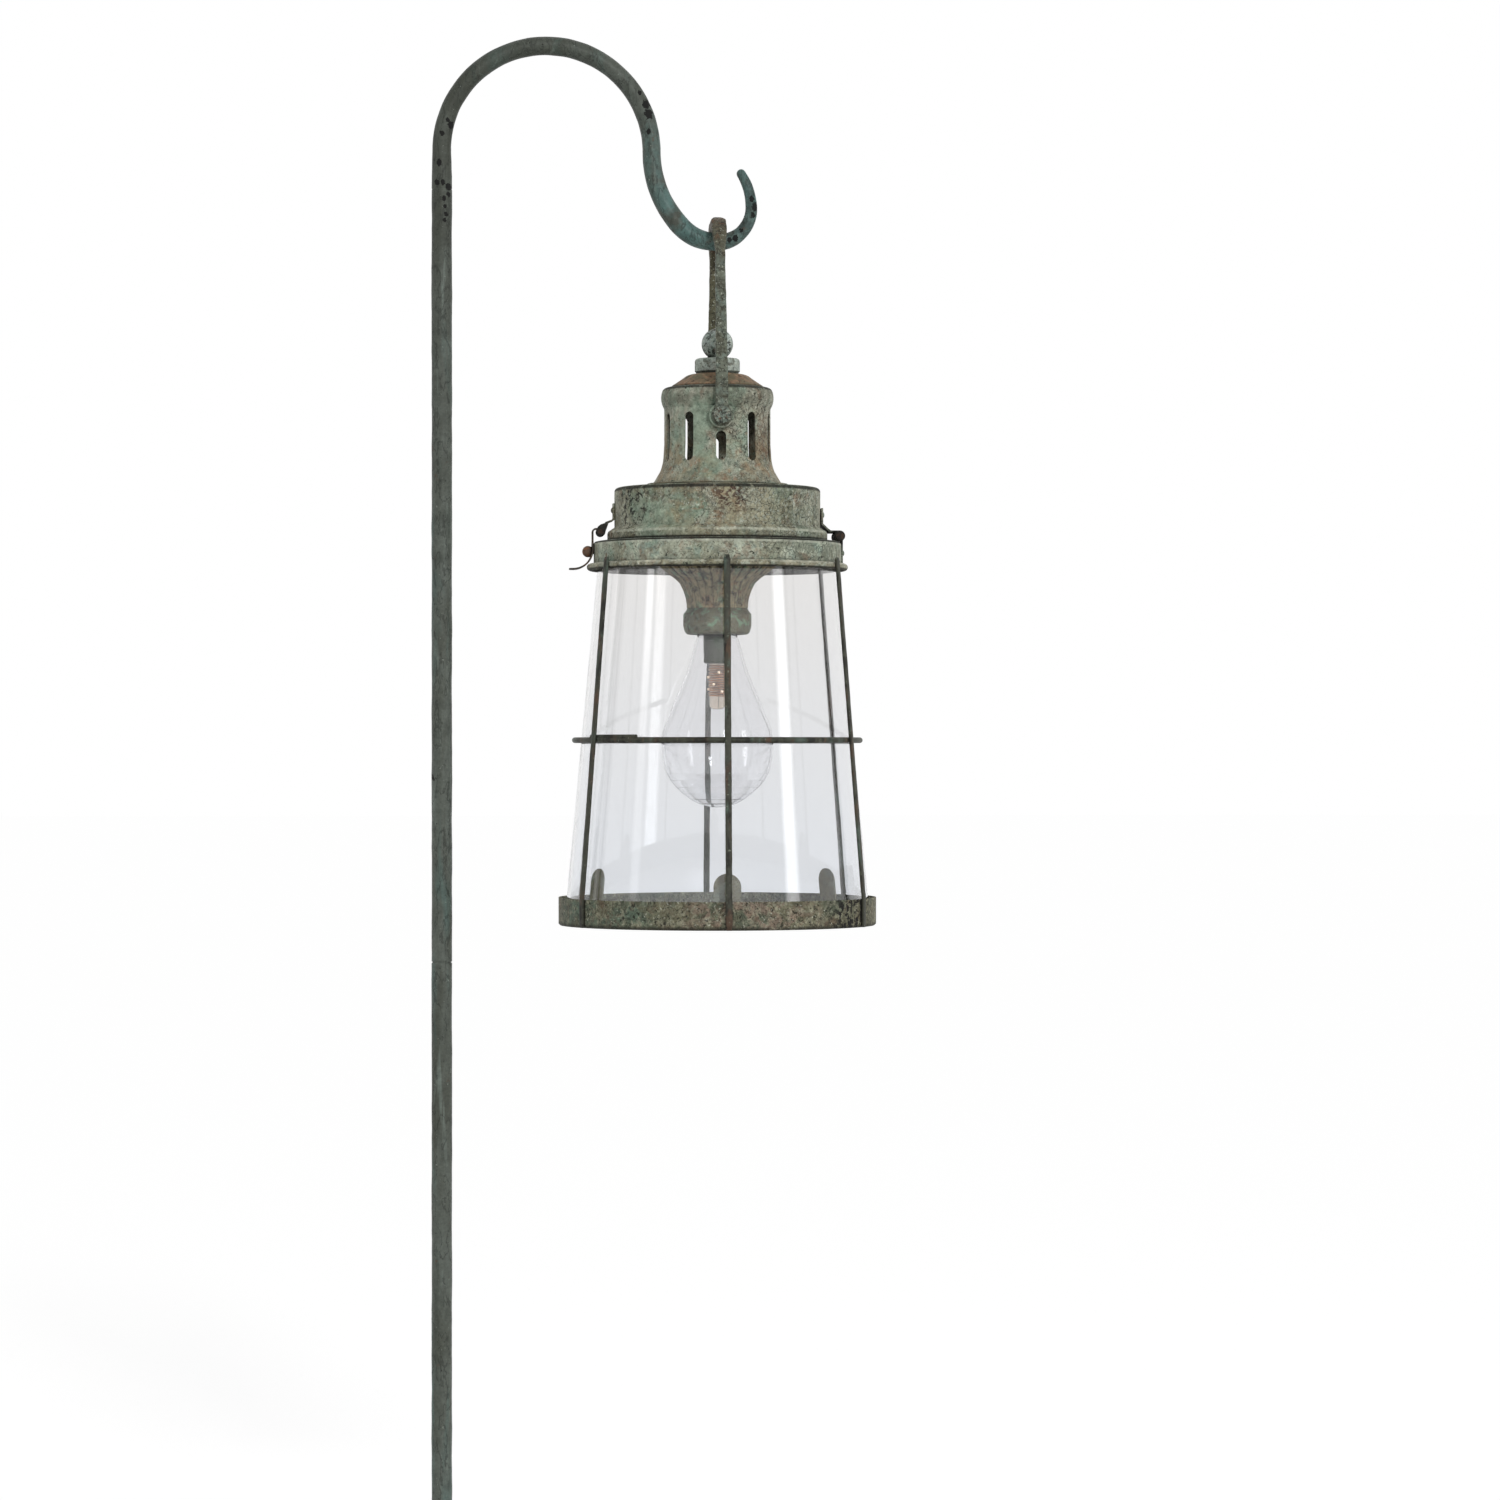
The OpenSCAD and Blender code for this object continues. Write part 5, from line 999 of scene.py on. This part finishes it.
class LAMP_OT_light(bpy.types.Operator):
    """Finishes the canopy, cup and sleeve, and winds the light string on its stick"""
    bl_idname = "lamp.light"
    bl_label = "Light"

    def execute(self, context):
        c, sizes = context.scene.lamp_colours, context.scene.lamp_sizes
        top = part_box("canopy")[1].z
        # Pleated and spun sheet, painted olive over green: brown and green stains, painted shade in the
        # valleys and painted highlights on the ridges, fading towards the cup, and thick dirt and painted
        # shade in corners.
        dress(patina("pleated_olive_sheet", c.canopy, [
            coat("#66876D", 14, 0.56, 0.63, 0.75, 0.55),
            coat("#7F6048", 12, 0.54, 0.63, 0.65, 0.62),
            coat("#8F9078", 9, 0.55, 0.65, 0.55, 0.58),
            coat("#34322A", 8, 0.54, 0.62, 0.75, 0.65),
            coat("#27251D", 9, 0.976, 0.99, 0.6, 0.7, -0.06, form="veins", squeeze=0.3),
            coat("#24221B", PLEATS, 0.56, 0.74, 0.85, 0.7, form="pleats", near=level(top, 62)),
            coat("#A09A80", PLEATS, 0.3, 0.2, 0.55, 0.55, form="pleats", near=level(top, 50)),
            coat("#A8A98F", 2.4, 0.65, 0.7, 0.6, 0.6, 0.04),
        ], rough=0.55, grain=1.6, grain_height=0.12, dirt_and_shade=0.95), "canopy")
        # Spun steel cup under thinner green paint: smoother than the canopy, with brown and dark patches.
        dress(patina("spun_green_cup", "#5F5F4E", [
            coat("#73937B", 10, 0.53, 0.62, 0.75, 0.5),
            coat("#5D533F", 10, 0.52, 0.62, 0.7, 0.6),
            coat("#2F2F27", 5, 0.58, 0.65, 0.7, 0.7),
        ], rough=0.5, grain=1.6, grain_height=0.1), "gallery_cup", "lamp_deck", "top_bridge")
        # Painted steel sleeve: dark green, satin, with pale upright rubs.
        dress(patina("painted_lamp_sleeve", "#2E3127", [
            coat("#3A4A39", 9, 0.5, 0.6, 0.65, 0.5),
            coat("#757C6C", 6, 0.6, 0.7, 0.45, 0.45, squeeze=0.3),
            coat("#292B25", 5, 0.56, 0.64, 0.7, 0.6),
        ], rough=0.5, grain=1.6, grain_height=0.06, specular=0.14), "lamp_sleeve")
        # Drawn brass tube: warm, satin, a little tarnished.
        dress(patina("drawn_brass", "#B08D4E", [
            coat("#6F5A35", 9, 0.52, 0.66, 0.7, 0.5),
        ], rough=0.35, metallic=1.0, grain=0.8, grain_height=0.02), "lamp_tube")
        # Cast acrylic stick: warm and slightly cloudy.
        dress(clear("cast_acrylic_stick", "#DED2C2", 1.49, 0.18, 6, 0.05), "light_stick")
        # Enamelled copper wire of 0.5 mm, drawn twice as thick so that it shows.
        copper = patina("enamelled_copper_wire", c.copper, [
            coat("#7A4A30", 5, 0.52, 0.64, 0.6, 0.4),
        ], rough=0.3, metallic=0.9, grain=0.6, grain_height=0.01)
        low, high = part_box("light_stick")
        mesh = grown(bpy.data.meshes.new("wire_host"), wire_tree(copper), {
            "Turns": float(sizes.wire_turns), "Coil Radius": (high.x - low.x) / 2 + sizes.wire / 2,
            "Coil Length": COIL_LENGTH, "Wire Radius": sizes.wire / 2,
            "Foot": Vector((AXIS_X, 0.0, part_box("lamp_sleeve")[0].z - COIL_DROP)),
        })
        place_piece("light_wire", mesh, "cage", copper)
        # Drops of clear epoxy round tiny diodes: warm white and glowing a little.
        points = bpy.data.materials.new("warm_light_points")
        tree = bare_tree(points)
        shader = add(tree, "ShaderNodeBsdfPrincipled", {
            "Base Color": tone(c.light), "Roughness": 0.15, "Emission Color": tone(c.light),
            "Emission Strength": 0.12,
        })
        add(tree, "ShaderNodeOutputMaterial", {"Surface": shader})
        dress(points, "led_beads")
        return {"FINISHED"}


class LAMP_OT_battery(bpy.types.Operator):
    """Finishes the battery box, its cells and its switch"""
    bl_idname = "lamp.battery"
    bl_label = "Battery box"

    def execute(self, context):
        # Moulded ABS with a spark-eroded grain of 0.1 mm, drawn 1 mm wide so that it shows: dull black, with
        # dust on it.
        dress(patina("moulded_black_abs", "#2A2D2B", [
            coat("#4C4F4B", 8, 0.55, 0.7, 0.4, 0.7),
        ], rough=0.48, grain=1.0, grain_height=0.06), "battery_box", "battery_lid")
        # Plain shrink sleeve of a cell: green, glossy, in two greens.
        dress(patina("printed_cell_sleeve", "#3F6A55", [
            coat("#2C4A3D", 12, 0.5, 0.62, 0.6, 0.3),
        ], rough=0.28, grain=1.0, grain_height=0.01), "battery_cells")
        # Moulded ABS slider: ivory, satin, with finger dirt in spots of 3 mm.
        dress(patina("moulded_switch_plastic", "#B8B2A2", [
            coat("#8A8575", 3, 0.58, 0.7, 0.5, 0.6),
        ], rough=0.42, grain=0.8, grain_height=0.03), "switch_slider")
        return {"FINISHED"}


# ---------- stage ----------

# Half the floor's side in metres, and its paint
FLOOR_REACH = 60.0
FLOOR_PAINT = "#D2D2D2"

# The softboxes and the height that they face: name, place, width and height in metres, and the share of
# light that the lower half gives
AIM_HEIGHT = 1.1
SOFTBOXES = (
    ("left_softbox", (-2.57, -1.03, 1.35), (0.52, 2.4), 0.25),
    ("right_softbox", (2.71, -1.72, 1.35), (0.75, 2.4), 1.0),
)

# The low key light: the way that it shines, and its width in degrees
KEY_WAY, KEY_WIDTH = (-0.579, 2.697, -0.94), 7

# The camera: its place, its turn about the upright axis in degrees, and its lens and sensor in mm
CAMERA_PLACE, CAMERA_TURN = (-0.0458, -4.136, 0.923), -4.5
CAMERA_LENS, CAMERA_SENSOR = 109.44, 36.0


def mirror_rays(tree, path):
    """1 for the rays that gloss and glass send out."""
    return add(tree, "ShaderNodeMath", {
        0: path.outputs["Is Glossy Ray"], 1: path.outputs["Is Transmission Ray"],
    }, operation="MAXIMUM")


def seen_white(tree, shader_socket, camera_glow):
    """A shader plus a glow that the camera sees, and plain white for gloss and glass."""
    path = add(tree, "ShaderNodeLightPath")
    seen = path.outputs["Is Camera Ray"]
    glow = add(tree, "ShaderNodeMath", {0: seen, 1: camera_glow}, operation="MULTIPLY")
    glow = add(tree, "ShaderNodeEmission", {"Strength": glow})
    lit = add(tree, "ShaderNodeAddShader", {0: shader_socket, 1: glow})
    white = add(tree, "ShaderNodeEmission", {"Strength": 1.0})
    return add(tree, "ShaderNodeMixShader", {0: mirror_rays(tree, path), 1: lit, 2: white})


def softbox(name, place, size, low_share, brightness):
    """Tall rectangular lamp that faces the lantern, and fades towards its long edges and its lower half."""
    lamp = bpy.data.lights.new(name, "AREA")
    lamp.shape = "RECTANGLE"
    lamp.size, lamp.size_y = size
    lamp.energy = brightness * size[0] * size[1]
    tree = bare_tree(lamp)
    part = add(tree, "ShaderNodeSeparateXYZ", {0: add(tree, "ShaderNodeNewGeometry").outputs["Parametric"]})
    up = add(tree, "ShaderNodeMapRange", {
        "Value": part.outputs["Y"], "From Min": 0.50, "From Max": 0.62, "To Min": low_share,
    })
    off = add(tree, "ShaderNodeMath", {0: part, 1: 0.5}, operation="SUBTRACT")
    off = add(tree, "ShaderNodeMath", {0: off}, operation="ABSOLUTE")
    fade = add(tree, "ShaderNodeMapRange", {"Value": off, "From Min": 0.5, "From Max": 0.25})
    both = add(tree, "ShaderNodeMath", {0: fade, 1: up}, operation="MULTIPLY")
    glow = add(tree, "ShaderNodeEmission", {"Strength": both})
    add(tree, "ShaderNodeOutputLight", {0: glow})
    holder = put(name, lamp)
    holder.location = place
    aim = Vector((AXIS_X, 0.0, AIM_HEIGHT)) - Vector(place)
    holder.rotation_euler = aim.to_track_quat("-Z", "Y").to_euler()


class LAMP_OT_stage(bpy.types.Operator):
    """Sets the floor, the lamps, the room and the camera"""
    bl_idname = "lamp.stage"
    bl_label = "Stage"

    def execute(self, context):
        scene, stage = context.scene, context.scene.lamp_stage
        mesh = bpy.data.meshes.new("floor")
        corners = [(x * FLOOR_REACH, y * FLOOR_REACH, 0) for x, y in ((-1, -1), (1, -1), (1, 1), (-1, 1))]
        mesh.from_pydata(corners, [], [(0, 1, 2, 3)])
        floor = put("studio_floor", mesh)
        # White painted studio floor: matt, and bright to the camera.
        paint = bpy.data.materials.new("white_studio_floor")
        tree = bare_tree(paint)
        matt = add(tree, "ShaderNodeBsdfDiffuse", {"Color": linear(FLOOR_PAINT)})
        both = seen_white(tree, matt, stage.floor_glow)
        add(tree, "ShaderNodeOutputMaterial", {"Surface": both})
        mesh.materials.append(paint)

        # White room: even soft light, seen as plain white by the camera, by gloss and through glass.
        room = bpy.data.worlds.new("white_room")
        tree = bare_tree(room)
        path = add(tree, "ShaderNodeLightPath")
        seen = {0: path.outputs["Is Camera Ray"], 1: mirror_rays(tree, path)}
        seen = add(tree, "ShaderNodeMath", seen, operation="MAXIMUM")
        power = add(tree, "ShaderNodeMapRange", {"Value": seen, "To Min": stage.sky, "To Max": 1.0})
        light = add(tree, "ShaderNodeBackground", {"Color": (1, 1, 1, 1), "Strength": power})
        add(tree, "ShaderNodeOutputWorld", {"Surface": light})
        scene.world = room

        for name, place, size, low_share in SOFTBOXES:
            softbox(name, place, size, low_share, stage.box_light)
        sun = bpy.data.lights.new("low_key", "SUN")
        sun.energy = stage.sun
        sun.angle = math.radians(KEY_WIDTH)
        key = put("low_key", sun)
        key.rotation_euler = Vector(KEY_WAY).to_track_quat("-Z", "Y").to_euler()

        data = bpy.data.cameras.new("camera")
        data.sensor_width = CAMERA_SENSOR
        data.lens = CAMERA_LENS
        data.clip_end = 200.0
        camera = put("camera", data)
        camera.location = CAMERA_PLACE
        camera.rotation_euler = Euler((math.radians(90), 0.0, math.radians(CAMERA_TURN)))
        scene.camera = camera
        scene.view_settings.view_transform = "Standard"
        return {"FINISHED"}


# ---------- panel, registration and run ----------

OPERATORS = (
    LAMP_OT_pole_and_crook, LAMP_OT_foot, LAMP_OT_bail, LAMP_OT_lid, LAMP_OT_hinge_and_hasp, LAMP_OT_cage,
    LAMP_OT_glass, LAMP_OT_light, LAMP_OT_battery, LAMP_OT_stage,
)


class LAMP_PT_panel(bpy.types.Panel):
    """Lists the lamp's pieces, sizes and colours"""
    bl_label = "Lantern floor lamp"
    bl_idname = "LAMP_PT_panel"
    bl_space_type = "VIEW_3D"
    bl_region_type = "UI"
    bl_category = "Lamp"

    def draw(self, context):
        for operator in OPERATORS:
            self.layout.operator(operator.bl_idname)
        for group in (context.scene.lamp_sizes, context.scene.lamp_colours, context.scene.lamp_stage):
            box = self.layout.box()
            for key in group.__annotations__:
                box.prop(group, key)


CLASSES = (LampSizes, LampColours, LampStage) + OPERATORS + (LAMP_PT_panel,)


def register():
    for item in CLASSES:
        bpy.utils.register_class(item)
    bpy.types.Scene.lamp_sizes = PointerProperty(type=LampSizes)
    bpy.types.Scene.lamp_colours = PointerProperty(type=LampColours)
    bpy.types.Scene.lamp_stage = PointerProperty(type=LampStage)


def unregister():
    for name in ("lamp_stage", "lamp_colours", "lamp_sizes"):
        delattr(bpy.types.Scene, name)
    for item in reversed(CLASSES):
        bpy.utils.unregister_class(item)


def main():
    register()
    for operator in OPERATORS:
        group, name = operator.bl_idname.split(".")
        getattr(getattr(bpy.ops, group), name)()


if __name__ == "__main__":
    main()
